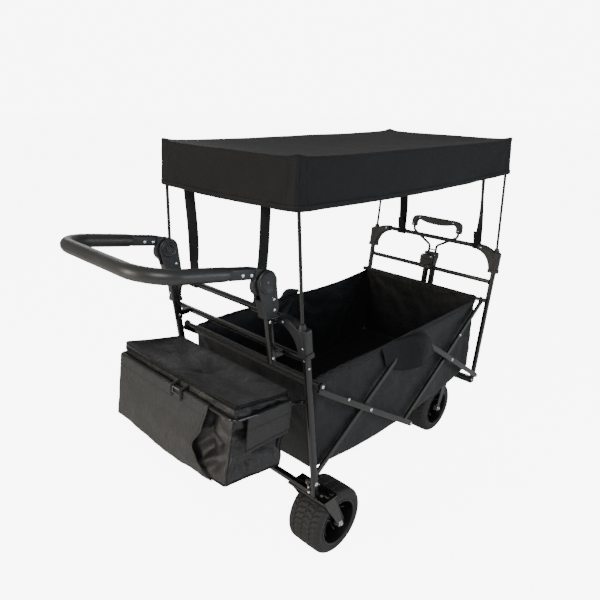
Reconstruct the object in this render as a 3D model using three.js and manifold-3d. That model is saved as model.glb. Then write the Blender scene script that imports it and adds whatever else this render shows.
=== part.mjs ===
// Folding kids pull wagon: two leaning end frames joined by double X links, a hung basket, a canopy on
// four poles, a push handle and a storage bag at the rear, and a telescopic pull handle at the front.
// Millimetres, +Z up, +X to the front (the pull-handle end). Heights are drawn from the level DATUM_LIFT
// above the floor, and the whole wagon is raised by it at the end, so that the tyres stand on z = 0.
import * as THREE from 'three';
import { mergeVertices } from 'three/addons/utils/BufferGeometryUtils.js';
import Module from 'manifold-3d';

// ---------------------------------------------------------------- driving dimensions
const MIDDLE_X = 178.2; // where the middle between the end frames stands, so that the whole is centred
const GAP = 0.3; // between pieces that touch

const HALF_SPAN = 481; // leg pivots from the middle
const PIVOT_Z = 273; // height of the leg pivots
const LEAN = THREE.MathUtils.degToRad(6.97); // end frames lean outwards
const LEG_Y = 287;
const LEG_DEEP = 20;
const LEG_WIDE = 15;
const REAR_FOOT_Z = 225; // underside of the rear cross tube
const FRONT_FOOT_Z = 238; // underside of the front cross tube
const BRACKET_Z = 772; // top of the corner brackets
const BRACKET_TALL = 80;
const BRACKET_THICK = 26;
const TOP_BAR_Z = 782;
const TOP_BAR_HALF = 206;
const BAR_TALL = 16;
const BAR_THICK = 15;
const REAR_MID_Z = 683;
const FRONT_MID_Z = 656;

const HUB_Z = 586; // top centre pivot of the X links
const LOW_HUB_Z = 263; // bottom centre pivot
const LINK_DEEP = 18;
const LINK_THICK = 8.6;
const OUTER_LINK_Y = 300;
const INNER_LINK_Y = 274.2;
const PIN_R = 4;
const HEAD_R = 7.5;
const ROD_X = 482; // rods that carry the basket's ends
const ROD_Z = 593;
const ROD_R = 6.5;
const ROD_HALF = 290;

const WHEEL_R = 107.5;
const WHEEL_Z = 95; // height of the wheel centres above the datum
const DATUM_LIFT = WHEEL_R - WHEEL_Z;
const WHEEL_SIDES = 24;
const TYRE_WIDE = 122;
const RIM_R = 72;
const AXLE_R = 6;
const REAR_AXLE_X = -392;
const REAR_WHEEL_Y = 257;
const FRONT_AXLE_X = 420;
const FRONT_WHEEL_Y = 120;
const SWIVEL_X = 456;
const PLATE_Z = 210; // underside of the caster plates
const PLATE_HALF_Y = 62; // half the width of a caster plate

const HINGE_X = -608;
const HINGE_Z = 894;
const HINGE_Y = 206;
const HINGE_R = 31;
const HANDLE_RISE = THREE.MathUtils.degToRad(9.3);
const HANDLE_REACH = 324; // hinge to the cross bar
const HANDLE_BEND = 85;
const SLEEVE_END = 117; // hinge to the end of the sleeve, where the foam starts
const HANDLE_OFFSET = 22.5; // handle tube above the hinge's centre
const ARM_OFFSET = 48; // fixed arms behind the end frame
const HANDLE_TUBE_R = 10;
const FOAM_R = 17.8;

const BAG_TILT = THREE.MathUtils.degToRad(10);
const BAG_X = -547;
const BAG_Z = 575;
const BAG_LONG = 195;
const BAG_HALF = 249;
const BAG_DEEP = 205;

const CANOPY_HALF_X = 566;
const CANOPY_HALF_Y = 274;
const CANOPY_Z = 1198;
const CANOPY_DROP = 130;
const POLE_R = 4.7;

const BASKET_HALF_X = 470;
const BASKET_HALF_Y = 262;
const BASKET_LOW_Z = 283;
const BASKET_TOP_Z = 597;

const GRAB_X = 501.7; // pivot of the pull handle
const GRAB_Z = 262;
const GRAB_TUBE_Y = 16;
const GRAB_TUBE_R = 12;
const GRAB_TUBE_TOP = 455;
const GRAB_ROD_R = 5;

const LINK_RISE = Math.atan2(HUB_Z - PIVOT_Z, HALF_SPAN);
const LINK_LONG = Math.hypot(HALF_SPAN, HUB_Z - PIVOT_Z);
const CROSS_ALONG = (LINK_LONG + (LOW_HUB_Z - PIVOT_Z) / Math.sin(LINK_RISE)) / 2;
const CROSS_X = HALF_SPAN - CROSS_ALONG * Math.cos(LINK_RISE); // where the two links of one X cross
const CROSS_Z = PIVOT_Z + CROSS_ALONG * Math.sin(LINK_RISE);

// ---------------------------------------------------------------- finishes
const finish = (color, roughness, metalness) => () =>
  new THREE.MeshStandardMaterial({ color, roughness, metalness });
const steel = finish(0x23221f, 0.38, 0.5);
const plastic = finish(0x24272c, 0.55, 0.0);
const foam = finish(0x43454a, 0.6, 0.0);
const rubber = finish(0x2b2a28, 0.85, 0.0);
const cloth = finish(0x17181c, 0.9, 0.0);
const nylon = finish(0x2c2b2b, 0.75, 0.0);
const zinc = finish(0xb9bcc0, 0.3, 0.9);

// ---------------------------------------------------------------- solids
const wasm = await Module();
wasm.setup();

function solid(geometry) {
  const bare = new THREE.BufferGeometry();
  bare.setAttribute('position', geometry.attributes.position.clone());
  if (geometry.index) bare.setIndex(geometry.index.clone());
  const merged = mergeVertices(bare, 1e-4);
  return new wasm.Manifold(
    new wasm.Mesh({
      numProp: 3,
      vertProperties: new Float32Array(merged.attributes.position.array),
      triVerts: new Uint32Array(merged.index.array),
    }),
  );
}

function shape(body) {
  const mesh = body.getMesh();
  const geometry = new THREE.BufferGeometry();
  geometry.setAttribute('position', new THREE.BufferAttribute(mesh.vertProperties, 3));
  geometry.setIndex(new THREE.BufferAttribute(mesh.triVerts, 1));
  return geometry;
}

const join = (...bodies) => bodies.reduce((all, one) => all.add(one));
const cut = (body, ...tools) => tools.reduce((left, tool) => left.subtract(tool), body);

function block(low, high) {
  const size = high.map((v, i) => v - low[i]);
  const geometry = new THREE.BoxGeometry(...size);
  geometry.translate(...low.map((v, i) => v + size[i] / 2));
  return solid(geometry);
}

function roundedRect(wide, tall, radius) {
  const [x, y] = [wide / 2, tall / 2];
  const outline = new THREE.Shape();
  outline.moveTo(-x + radius, -y);
  outline.lineTo(x - radius, -y);
  outline.quadraticCurveTo(x, -y, x, -y + radius);
  outline.lineTo(x, y - radius);
  outline.quadraticCurveTo(x, y, x - radius, y);
  outline.lineTo(-x + radius, y);
  outline.quadraticCurveTo(-x, y, -x, y - radius);
  outline.lineTo(-x, -y + radius);
  outline.quadraticCurveTo(-x, -y, -x + radius, -y);
  return outline;
}

function ring(radius, sides = 12) {
  const outline = new THREE.Shape();
  for (let i = 0; i < sides; i += 1) {
    const turn = (2 * Math.PI * i) / sides;
    const point = [radius * Math.cos(turn), radius * Math.sin(turn)];
    if (i === 0) outline.moveTo(...point);
    else outline.lineTo(...point);
  }
  outline.closePath();
  return outline;
}

// A straight bar of one section from a to b; the section's width runs along `side`.
function strut(a, b, section, side = [0, 1, 0]) {
  const [from, to] = [new THREE.Vector3(...a), new THREE.Vector3(...b)];
  const along = to.clone().sub(from);
  const depth = along.length();
  along.normalize();
  const across = new THREE.Vector3(...side);
  across.addScaledVector(along, -across.dot(along)).normalize();
  const third = new THREE.Vector3().crossVectors(along, across);
  const geometry = new THREE.ExtrudeGeometry(section, { depth, bevelEnabled: false, curveSegments: 2 });
  geometry.applyMatrix4(new THREE.Matrix4().makeBasis(across, third, along).setPosition(from));
  return solid(geometry);
}

const rod = (a, b, radius, sides = 10) => strut(a, b, ring(radius, sides), [0.3, 0.2, 0.9]);
const pin = (x, z, y0, y1, radius, sides = 10) => strut([x, y0, z], [x, y1, z], ring(radius, sides), [0, 0, 1]);

// A plate whose outline is drawn in X and Z, from y0 to y1.
function plate(outline, y0, y1, curveSegments = 4) {
  const geometry = new THREE.ExtrudeGeometry(outline, { depth: y1 - y0, bevelEnabled: false, curveSegments });
  geometry.rotateX(Math.PI / 2);
  geometry.translate(0, y1, 0);
  return solid(geometry);
}

// A route with straight runs and round bends, sampled only where it turns.
class Route extends THREE.Curve {
  constructor(corners, radius, perBend) {
    super();
    this.stations = Route.fillet(corners.map((c) => new THREE.Vector3(...c)), radius, perBend);
  }

  static fillet(corners, radius, perBend) {
    const out = [corners[0]];
    for (let i = 1; i < corners.length - 1; i += 1) {
      const before = corners[i - 1].clone().sub(corners[i]).normalize();
      const after = corners[i + 1].clone().sub(corners[i]).normalize();
      const half = before.angleTo(after) / 2;
      const reach = radius / Math.tan(half);
      const middle = before.clone().add(after).normalize();
      const centre = corners[i].clone().addScaledVector(middle, radius / Math.sin(half));
      const start = corners[i].clone().addScaledVector(before, reach).sub(centre);
      const end = corners[i].clone().addScaledVector(after, reach).sub(centre);
      const sweep = start.angleTo(end);
      for (let k = 0; k <= perBend; k += 1) {
        const t = (sweep * k) / perBend;
        const point = start.clone().multiplyScalar(Math.sin(sweep - t) / Math.sin(sweep));
        out.push(point.addScaledVector(end, Math.sin(t) / Math.sin(sweep)).add(centre));
      }
    }
    out.push(corners[corners.length - 1]);
    return out;
  }

  getPoint(t, target = new THREE.Vector3()) {
    const place = t * (this.stations.length - 1);
    const i = Math.min(Math.floor(place), this.stations.length - 2);
    return target.lerpVectors(this.stations[i], this.stations[i + 1], place - i);
  }

  getTangent(t, target = new THREE.Vector3()) {
    const last = this.stations.length - 1;
    const i = Math.round(t * last);
    const [before, after] = [Math.max(i - 1, 0), Math.min(i + 1, last)];
    const into = this.stations[i].clone().sub(this.stations[before]).normalize();
    const outOf = this.stations[after].clone().sub(this.stations[i]).normalize();
    return target.copy(into).add(outOf).normalize();
  }

  getUtoTmapping(u) {
    return u;
  }
}

function bentTube(corners, bend, radius, { hole = 0, sides = 10, perBend = 5 } = {}) {
  const route = new Route(corners, bend, perBend);
  const section = ring(radius, sides);
  if (hole) section.holes.push(ring(hole, sides));
  const steps = route.stations.length - 1;
  return solid(new THREE.ExtrudeGeometry(section, { steps, bevelEnabled: false, extrudePath: route }));
}

// A turned ring about the Y axis through (x, y, z), from a closed [radius, offset] profile.
function turned(profile, x, y, z, segments = 28) {
  const points = [...profile, profile[0]].map(([r, h]) => new THREE.Vector2(r, h));
  const geometry = new THREE.LatheGeometry(points, segments);
  geometry.translate(x, y, z);
  return solid(geometry);
}

// ---------------------------------------------------------------- the assembly
const wagon = new THREE.Group();
wagon.position.set(MIDDLE_X, 0, DATUM_LIFT);

function add(name, body, material, group = wagon) {
  const mesh = new THREE.Mesh(shape(body), material());
  mesh.name = name;
  group.add(mesh);
  return mesh;
}

const SIDES = [
  ['right', -1],
  ['left', 1],
];
const band = (side, y0, y1) => (side > 0 ? [y0, y1] : [-y1, -y0]);
const leanX = (end, z, out = 0) => end * (HALF_SPAN + (z - PIVOT_Z) * Math.tan(LEAN) + out);
const onFrame = (end, y, z, out = 0) => [leanX(end, z, out), y, z];
const legSection = () => roundedRect(LEG_WIDE, LEG_DEEP, 4.5);
const barSection = () => roundedRect(BAR_TALL, BAR_THICK, 4.5);

// ---- links: two on each side at the rear, two at the front
const rise = Math.tan(LINK_RISE);
const FREE_END_X = ROD_X + 7;

// A link in the plane y, from (x0, z0) to (x1, z1), with round ends and a hole at each [x, z] given.
function link(x0, z0, x1, z1, side, y, holes) {
  const turn = Math.atan2(z1 - z0, x1 - x0);
  const [c, s, r] = [Math.cos(turn), Math.sin(turn), LINK_DEEP / 2];
  const outline = new THREE.Shape();
  outline.moveTo(x0 + r * s, z0 - r * c);
  outline.lineTo(x1 + r * s, z1 - r * c);
  outline.absarc(x1, z1, r, turn - Math.PI / 2, turn + Math.PI / 2, false);
  outline.lineTo(x0 - r * s, z0 + r * c);
  outline.absarc(x0, z0, r, turn + Math.PI / 2, turn + 1.5 * Math.PI, false);
  const [y0, y1] = band(side, y - LINK_THICK / 2, y + LINK_THICK / 2);
  const bores = holes.map(([x, z]) => pin(x, z, y0 - 1, y1 + 1, PIN_R + GAP));
  return cut(plate(outline, y0, y1, 3), ...bores);
}

// A rivet that rides with an inner link: a spacer, a pin through the neighbour and a head beyond it.
function rivet(x, z, side, spacerFrom, spacerTo, pinTo) {
  const parts = [pin(x, z, ...band(side, spacerFrom, pinTo), PIN_R)];
  if (spacerTo > spacerFrom) parts.push(pin(x, z, ...band(side, spacerFrom, spacerTo), HEAD_R));
  parts.push(pin(x, z, ...band(side, pinTo, pinTo + 2.6), HEAD_R));
  return join(...parts);
}

const innerFace = INNER_LINK_Y + LINK_THICK / 2 - 1;
const outerLow = OUTER_LINK_Y - LINK_THICK / 2;
const outerHigh = OUTER_LINK_Y + LINK_THICK / 2;

function linkLug(side, y, end) {
  const [y0, y1] = band(side, y - LINK_THICK / 2, y + LINK_THICK / 2);
  return pin(end * ROD_X, ROD_Z, y0, y1, 11);
}

for (const [label, side] of SIDES) {
  const between = (x, z) => rivet(x, z, side, innerFace, outerLow - GAP, outerHigh + GAP);

  const freeZ = LOW_HUB_Z + FREE_END_X * rise;
  const rearOuter = join(
    link(-FREE_END_X, freeZ, 0, LOW_HUB_Z, side, OUTER_LINK_Y, [[-CROSS_X, CROSS_Z], [0, LOW_HUB_Z]]),
    linkLug(side, OUTER_LINK_Y, -1),
  );
  add(`rear_outer_link_${label}`, rearOuter, steel);

  const legPin = rivet(-HALF_SPAN, PIVOT_Z, side, innerFace, innerFace, LEG_Y + LEG_WIDE / 2 + 0.5);
  const rearInner = join(
    link(-HALF_SPAN, PIVOT_Z, 0, HUB_Z, side, INNER_LINK_Y, []),
    between(-CROSS_X, CROSS_Z),
    between(0, HUB_Z),
    legPin,
  );
  add(`rear_inner_link_${label}`, rearInner, steel);

  const [lugY0, lugY1] = band(side, INNER_LINK_Y - 10, INNER_LINK_Y + 10);
  const frontInner = join(
    link(FREE_END_X, freeZ, 0, LOW_HUB_Z, side, INNER_LINK_Y, []),
    linkLug(side, INNER_LINK_Y, 1),
    between(CROSS_X, CROSS_Z),
    between(0, LOW_HUB_Z),
  );
  add(
    `front_inner_link_${label}`,
    cut(frontInner, pin(ROD_X, ROD_Z, lugY0, lugY1, ROD_R + GAP + 0.2)),
    steel,
  );

  const insideLeg = LEG_Y - LEG_WIDE / 2 - 0.5;
  const frontOuter = join(
    link(0, HUB_Z, HALF_SPAN, PIVOT_Z, side, OUTER_LINK_Y, [[0, HUB_Z], [CROSS_X, CROSS_Z]]),
    pin(HALF_SPAN, PIVOT_Z, ...band(side, insideLeg, outerLow + 1), PIN_R),
    pin(HALF_SPAN, PIVOT_Z, ...band(side, insideLeg - 2.6, insideLeg), HEAD_R),
    pin(HALF_SPAN, PIVOT_Z, ...band(side, outerHigh - 1, outerHigh + 2.6), HEAD_R),
  );
  add(`front_outer_link_${label}`, frontOuter, steel);
}

const rearRodEnd = outerLow - GAP;
add('rear_basket_rod', rod([-ROD_X, -rearRodEnd, ROD_Z], [-ROD_X, rearRodEnd, ROD_Z], ROD_R), steel);
add('front_basket_rod', rod([ROD_X, -ROD_HALF, ROD_Z], [ROD_X, ROD_HALF, ROD_Z], ROD_R), steel);

// ---- end frames
const LEG_TOP_Z = BRACKET_Z - 42;

function endFrame(end, footZ, midZ, extras) {
  const parts = [];
  for (const [, side] of SIDES) {
    const leg = strut(
      onFrame(end, side * LEG_Y, footZ + 2),
      onFrame(end, side * LEG_Y, LEG_TOP_Z),
      legSection(),
    );
    const bore = pin(end * HALF_SPAN, PIVOT_Z, ...band(side, LEG_Y - 12, LEG_Y + 12), PIN_R + GAP);
    parts.push(cut(leg, bore));
  }
  const reach = LEG_Y - 2;
  const tilt = [Math.sin(end * LEAN), 0, Math.cos(LEAN)];
  parts.push(strut(onFrame(end, -reach, midZ), onFrame(end, reach, midZ), barSection(), tilt));
  return join(...parts, ...extras);
}

const FRAME_HALF = LEG_Y + 5;
const REAR_FOOT_X = leanX(-1, REAR_FOOT_Z);
const rearTube = block(
  [REAR_FOOT_X - 10, -FRAME_HALF, REAR_FOOT_Z],
  [REAR_FOOT_X + 10, FRAME_HALF, REAR_FOOT_Z + 16],
);
add('rear_frame', endFrame(-1, REAR_FOOT_Z, REAR_MID_Z, [rearTube]), steel);

// The front cross tube, a caster plate on a drop web under each half of it, and the ears of the pull handle.
const FRONT_TUBE_X = 487; // front face of the tube
const frontExtras = [
  block([FRONT_TUBE_X - 24, -FRAME_HALF, FRONT_FOOT_Z], [FRONT_TUBE_X, FRAME_HALF, FRONT_FOOT_Z + 24]),
];
for (const [, side] of SIDES) {
  const swivelY = side * FRONT_WHEEL_Y;
  const [y0, y1] = [swivelY - PLATE_HALF_Y, swivelY + PLATE_HALF_Y];
  const kingBore = rod([SWIVEL_X, swivelY, PLATE_Z - 5], [SWIVEL_X, swivelY, PLATE_Z + 20], 6.5);
  frontExtras.push(cut(block([428, y0, PLATE_Z], [FRONT_TUBE_X, y1, PLATE_Z + 6]), kingBore));
  frontExtras.push(block([FRONT_TUBE_X - 17, y0, PLATE_Z + 2], [FRONT_TUBE_X, y1, FRONT_FOOT_Z + 2]));
  const [ear0, ear1] = band(side, 31, 36);
  const ear = block([FRONT_TUBE_X - 8, ear0, FRONT_FOOT_Z + 2], [514, ear1, 274]);
  frontExtras.push(cut(ear, pin(GRAB_X, GRAB_Z, ...band(side, 25, 42), 5.5)));
}
add('front_frame', endFrame(1, FRONT_FOOT_Z, FRONT_MID_Z, frontExtras), steel);

// ---- corner brackets: a pole socket on each leg with an arch to the top bar
const POLE_FOOT = [546, 282];
const POLE_HEAD = [557, 260];
const poleEnds = (end, side, z0, z1) => {
  const at = (z) => {
    const t = (z - BRACKET_Z) / (CANOPY_Z - BRACKET_Z);
    return [
      end * (POLE_FOOT[0] + t * (POLE_HEAD[0] - POLE_FOOT[0])),
      side * (POLE_FOOT[1] + t * (POLE_HEAD[1] - POLE_FOOT[1])),
      z,
    ];
  };
  return [at(z0), at(z1)];
};

function bracket(end, side) {
  const outline = new THREE.Shape();
  const [outer, inner, low] = [LEG_Y + 14, LEG_Y - 19, -BRACKET_TALL];
  outline.moveTo(outer, low);
  outline.lineTo(outer, 0);
  outline.lineTo(inner - 2, 0);
  outline.quadraticCurveTo(inner - 18, 20, TOP_BAR_HALF + GAP, 20);
  outline.lineTo(TOP_BAR_HALF + GAP, -2);
  outline.quadraticCurveTo(inner - 10, -12, inner, -72);
  outline.lineTo(inner, low);
  const geometry = new THREE.ExtrudeGeometry(outline, {
    depth: BRACKET_THICK,
    bevelEnabled: false,
    curveSegments: 7,
  });
  geometry.translate(0, 0, -BRACKET_THICK / 2);
  // drawn in (Y, Z) and thick along X
  const across = new THREE.Vector3(0, side, 0);
  const up = new THREE.Vector3(0, 0, 1);
  geometry.applyMatrix4(new THREE.Matrix4().makeBasis(across, up, new THREE.Vector3().crossVectors(across, up)));
  geometry.rotateY(end * LEAN);
  geometry.translate(...onFrame(end, 0, BRACKET_Z));
  const legPocket = strut(
    onFrame(end, side * LEG_Y, BRACKET_Z - BRACKET_TALL - 20),
    onFrame(end, side * LEG_Y, LEG_TOP_Z + GAP),
    roundedRect(LEG_WIDE + 2 * GAP, LEG_DEEP + 2 * GAP, 4.5),
  );
  const poleHole = rod(...poleEnds(end, side, BRACKET_Z - 36, BRACKET_Z + 30), POLE_R + 2 * GAP);
  return cut(solid(geometry), legPocket, poleHole);
}

for (const [end, where] of [[-1, 'rear'], [1, 'front']]) {
  const tilt = [Math.sin(end * LEAN), 0, Math.cos(LEAN)];
  const topBar = strut(
    onFrame(end, -TOP_BAR_HALF, TOP_BAR_Z),
    onFrame(end, TOP_BAR_HALF, TOP_BAR_Z),
    barSection(),
    tilt,
  );
  add(`${where}_top_bar`, topBar, steel);
  for (const [label, side] of SIDES) {
    add(`${where}_bracket_${label}`, bracket(end, side), plastic);
    const ends = poleEnds(end, side, BRACKET_Z - 35, CANOPY_Z - 4);
    add(`${where}_canopy_pole_${label}`, rod(...ends, POLE_R, 10), steel);
  }
}

// ---- wheels, forks and axles
function tyre(x, y) {
  const [half, shoulder] = [TYRE_WIDE / 2, 12];
  return turned(
    [
      [RIM_R + GAP, -half + 8],
      [RIM_R + 10, -half],
      [WHEEL_R - shoulder, -half],
      [WHEEL_R - 4, -half + 5],
      [WHEEL_R, -half + 20],
      [WHEEL_R, half - 20],
      [WHEEL_R - 4, half - 5],
      [WHEEL_R - shoulder, half],
      [RIM_R + 10, half],
      [RIM_R + GAP, half - 8],
    ],
    x,
    y,
    WHEEL_Z,
    WHEEL_SIDES,
  );
}

function rim(x, y) {
  const [half, hub] = [TYRE_WIDE / 2 - 7, TYRE_WIDE / 2 - 3];
  return turned(
    [
      [AXLE_R + 2 * GAP, -hub],
      [16, -hub],
      [18, -6],
      [RIM_R - 6, -6],
      [RIM_R - 5, -half],
      [RIM_R, -half],
      [RIM_R, half],
      [RIM_R - 5, half],
      [RIM_R - 6, 6],
      [18, 6],
      [16, hub],
      [AXLE_R + 2 * GAP, hub],
    ],
    x,
    y,
    WHEEL_Z,
    WHEEL_SIDES,
  );
}

const ARM_THICK = 3;
const ARM_CLEAR = 2; // fork arm to tyre

// A fork arm from the crown, wide at the top and round at the axle.
function forkArm(x0, x1, topZ, axleX, y0, y1) {
  const r = 13;
  const outline = new THREE.Shape();
  outline.moveTo(x0, topZ);
  outline.lineTo(x0, topZ - 14);
  outline.lineTo(axleX - r, WHEEL_Z + 2);
  outline.absarc(axleX, WHEEL_Z, r, Math.PI - 0.15, 2.2 * Math.PI, false);
  outline.lineTo(x1, topZ - 14);
  outline.lineTo(x1, topZ);
  const arm = plate(outline, y0, y1, 6);
  return cut(arm, pin(axleX, WHEEL_Z, y0 - 1, y1 + 1, AXLE_R + 2 * GAP));
}

function axle(x, y, half) {
  return join(
    pin(x, WHEEL_Z, y - half - 6, y + half + 6, AXLE_R),
    pin(x, WHEEL_Z, y - half - 8, y - half - GAP, 9),
    pin(x, WHEEL_Z, y + half + GAP, y + half + 8, 9),
  );
}

const halfFork = TYRE_WIDE / 2 + ARM_CLEAR + ARM_THICK;
const rearPlateTop = REAR_FOOT_Z - GAP;
const CROWN_TOP = PLATE_Z - 2;
const CROWN_THICK = 3.8;

for (const [label, side] of SIDES) {
  const rearY = side * REAR_WHEEL_Y;
  const rearFork = join(
    block([-485, rearY - halfFork - 6, rearPlateTop - 8], [-420, rearY + halfFork + 6, rearPlateTop]),
    forkArm(-470, -424, rearPlateTop - 6, REAR_AXLE_X, rearY - halfFork, rearY - halfFork + ARM_THICK),
    forkArm(-470, -424, rearPlateTop - 6, REAR_AXLE_X, rearY + halfFork - ARM_THICK, rearY + halfFork),
  );
  add(`rear_fork_${label}`, rearFork, steel);
  add(`rear_axle_${label}`, axle(REAR_AXLE_X, rearY, halfFork), zinc);
  add(`rear_rim_${label}`, rim(REAR_AXLE_X, rearY), plastic);
  add(`rear_tyre_${label}`, tyre(REAR_AXLE_X, rearY), rubber);

  const frontY = side * FRONT_WHEEL_Y;
  const casterFork = join(
    block([430, frontY - halfFork, CROWN_TOP - CROWN_THICK], [486, frontY + halfFork, CROWN_TOP]),
    rod([SWIVEL_X, frontY, CROWN_TOP - 1], [SWIVEL_X, frontY, PLATE_Z - GAP], 22, 16),
    rod([SWIVEL_X, frontY, CROWN_TOP - 1], [SWIVEL_X, frontY, PLATE_Z + 15], 6),
    rod([SWIVEL_X, frontY, PLATE_Z + 6 + GAP], [SWIVEL_X, frontY, PLATE_Z + 13], 10),
    forkArm(434, 474, CROWN_TOP - 2, FRONT_AXLE_X, frontY - halfFork, frontY - halfFork + ARM_THICK),
    forkArm(434, 474, CROWN_TOP - 2, FRONT_AXLE_X, frontY + halfFork - ARM_THICK, frontY + halfFork),
  );
  add(`caster_fork_${label}`, casterFork, steel);
  add(`caster_axle_${label}`, axle(FRONT_AXLE_X, frontY, halfFork), zinc);
  add(`front_rim_${label}`, rim(FRONT_AXLE_X, frontY), plastic);
  add(`front_tyre_${label}`, tyre(FRONT_AXLE_X, frontY), rubber);
}

// ---- push handle: fixed arms and hinge clevises, then the tilting U with its foam
const ARM_LOW_Z = 664;
const ARM_HIGH_Z = 828;
const armSection = (grow = 0) => roundedRect(12 + grow, 25 + grow, 5.5);
const TAB_GAP = 1.6; // the tabs end upright against the leaning frame
const ratchetHalf = 7.6;
const hingeHalf = 16;
const BASE_LONG = 99; // hinge centre to the lower end of its fixed half

for (const [label, side] of SIDES) {
  const armY = side * HINGE_Y;
  const armAt = (z) => onFrame(-1, armY, z, ARM_OFFSET);
  const tab = (z, gapTo) =>
    strut(onFrame(-1, armY, z, gapTo), onFrame(-1, armY, z, ARM_OFFSET - 8), roundedRect(10, 18, 2));
  const arm = join(
    strut(armAt(ARM_LOW_Z), armAt(ARM_HIGH_Z), armSection()),
    tab(REAR_MID_Z, BAR_THICK / 2 + TAB_GAP),
    tab(TOP_BAR_Z, BRACKET_THICK / 2 + TAB_GAP),
  );
  add(`handle_arm_${label}`, arm, steel);

  // The fixed half is drawn about the hinge's centre with its arm straight down, then leaned.
  const base = new THREE.Group();
  base.position.set(HINGE_X, 0, HINGE_Z);
  base.rotation.y = -LEAN;
  wagon.add(base);
  const outline = new THREE.Shape();
  outline.absarc(0, 0, HINGE_R, 0, Math.PI, false);
  outline.lineTo(-HINGE_R + 3, -20);
  outline.quadraticCurveTo(-20, -50, -17, -BASE_LONG);
  outline.lineTo(19, -BASE_LONG);
  outline.quadraticCurveTo(31, -90, HINGE_R, -62);
  const [y0, y1] = band(side, HINGE_Y - hingeHalf, HINGE_Y + hingeHalf);
  const [in0, in1] = band(side, HINGE_Y - ratchetHalf - 0.4, HINGE_Y + ratchetHalf + 0.4);
  const [b0, b1] = band(side, HINGE_Y - hingeHalf - 5, HINGE_Y - ratchetHalf);
  const foot = new THREE.Vector3(...armAt(ARM_LOW_Z)).sub(base.position).applyAxisAngle(
    new THREE.Vector3(0, 1, 0),
    LEAN,
  );
  const pocket = strut([foot.x, armY, foot.z], [foot.x, armY, -62], armSection(2 * GAP + 0.2));
  const fixedHalf = cut(
    plate(outline, y0, y1, 10),
    pin(0, 0, in0, in1, HINGE_R + 8, 20),
    pin(0, 0, b0, b1, 11.5, 12),
    pocket,
  );
  add(`handle_hinge_base_${label}`, fixedHalf, plastic, base);
  const [button0, button1] = band(side, HINGE_Y - hingeHalf - 3, HINGE_Y - hingeHalf + 2.2);
  add(`hinge_button_${label}`, pin(0, 0, button0, button1, 10.8, 12), plastic, base);

  const moving = new THREE.Group();
  moving.position.set(HINGE_X, 0, HINGE_Z);
  moving.rotation.y = HANDLE_RISE;
  wagon.add(moving);
  const [m0, m1] = [armY - ratchetHalf, armY + ratchetHalf];
  const movingHalf = cut(
    join(
      pin(0, 0, m0, m1, HINGE_R, 20),
      pin(-9, -3, m0, m1, HINGE_R - 3.5, 20),
      block([-60, m0, HANDLE_OFFSET - 15], [0, m1, HANDLE_OFFSET + 8.4]),
      block([-SLEEVE_END, armY - 13, HANDLE_OFFSET - 15], [-38, armY + 13, HANDLE_OFFSET + 15]),
    ),
    rod([-SLEEVE_END - 6, armY, HANDLE_OFFSET], [-60, armY, HANDLE_OFFSET], HANDLE_TUBE_R + 2 * GAP),
  );
  add(`handle_hinge_arm_${label}`, movingHalf, plastic, moving);
}

const pushHandle = new THREE.Group();
pushHandle.position.set(HINGE_X, 0, HINGE_Z);
pushHandle.rotation.y = HANDLE_RISE;
wagon.add(pushHandle);
const uShape = (start) => [
  [start, -HINGE_Y, HANDLE_OFFSET],
  [-HANDLE_REACH, -HINGE_Y, HANDLE_OFFSET],
  [-HANDLE_REACH, HINGE_Y, HANDLE_OFFSET],
  [start, HINGE_Y, HANDLE_OFFSET],
];
const handleTube = bentTube(uShape(-61), HANDLE_BEND, HANDLE_TUBE_R, { sides: 10, perBend: 6 });
add('push_handle_tube', handleTube, steel, pushHandle);
const foamGrip = bentTube(uShape(-SLEEVE_END - GAP), HANDLE_BEND, FOAM_R, {
  hole: HANDLE_TUBE_R + 1.1,
  sides: 12,
  perBend: 6,
});
add('push_handle_grip', foamGrip, foam, pushHandle);

// ---- storage bag, drawn from its inner top edge: -X outwards, -Z down the bag
const bag = new THREE.Group();
bag.position.set(BAG_X, 0, BAG_Z);
bag.rotation.y = BAG_TILT;
wagon.add(bag);
const bagShell = cut(
  block([-BAG_LONG, -BAG_HALF, -BAG_DEEP], [0, BAG_HALF, -GAP]),
  block([-BAG_LONG + 3, -BAG_HALF + 3, -BAG_DEEP + 3], [-3, BAG_HALF - 3, 1]),
);
add('storage_bag', bagShell, nylon, bag);
add('bag_lid', block([-BAG_LONG - 1, -BAG_HALF - 2, 0], [0, BAG_HALF + 2, 4]), nylon, bag);

const LOOP_Y = BAG_HALF + 9;
const loopAt = (out, drop) => [
  BAG_X - out * Math.cos(BAG_TILT) - drop * Math.sin(BAG_TILT),
  BAG_Z + out * Math.sin(BAG_TILT) - drop * Math.cos(BAG_TILT),
];
const [loopFarX, loopFarZ] = loopAt(BAG_LONG + 8, 25);
const loopEndZ = loopAt(0, 25)[1] - 6;
const loopEndX = leanX(-1, loopEndZ);
const loopEndY = LEG_Y - LEG_WIDE / 2 - GAP;
const loopRoute = [
  [loopEndX, -loopEndY, loopEndZ],
  [loopEndX, -LOOP_Y, loopEndZ],
  [loopFarX, -LOOP_Y, loopFarZ],
  [loopFarX, LOOP_Y, loopFarZ],
  [loopEndX, LOOP_Y, loopEndZ],
  [loopEndX, loopEndY, loopEndZ],
];
add('bag_loop', bentTube(loopRoute, 14, 5, { sides: 8, perBend: 4 }), steel);

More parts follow.
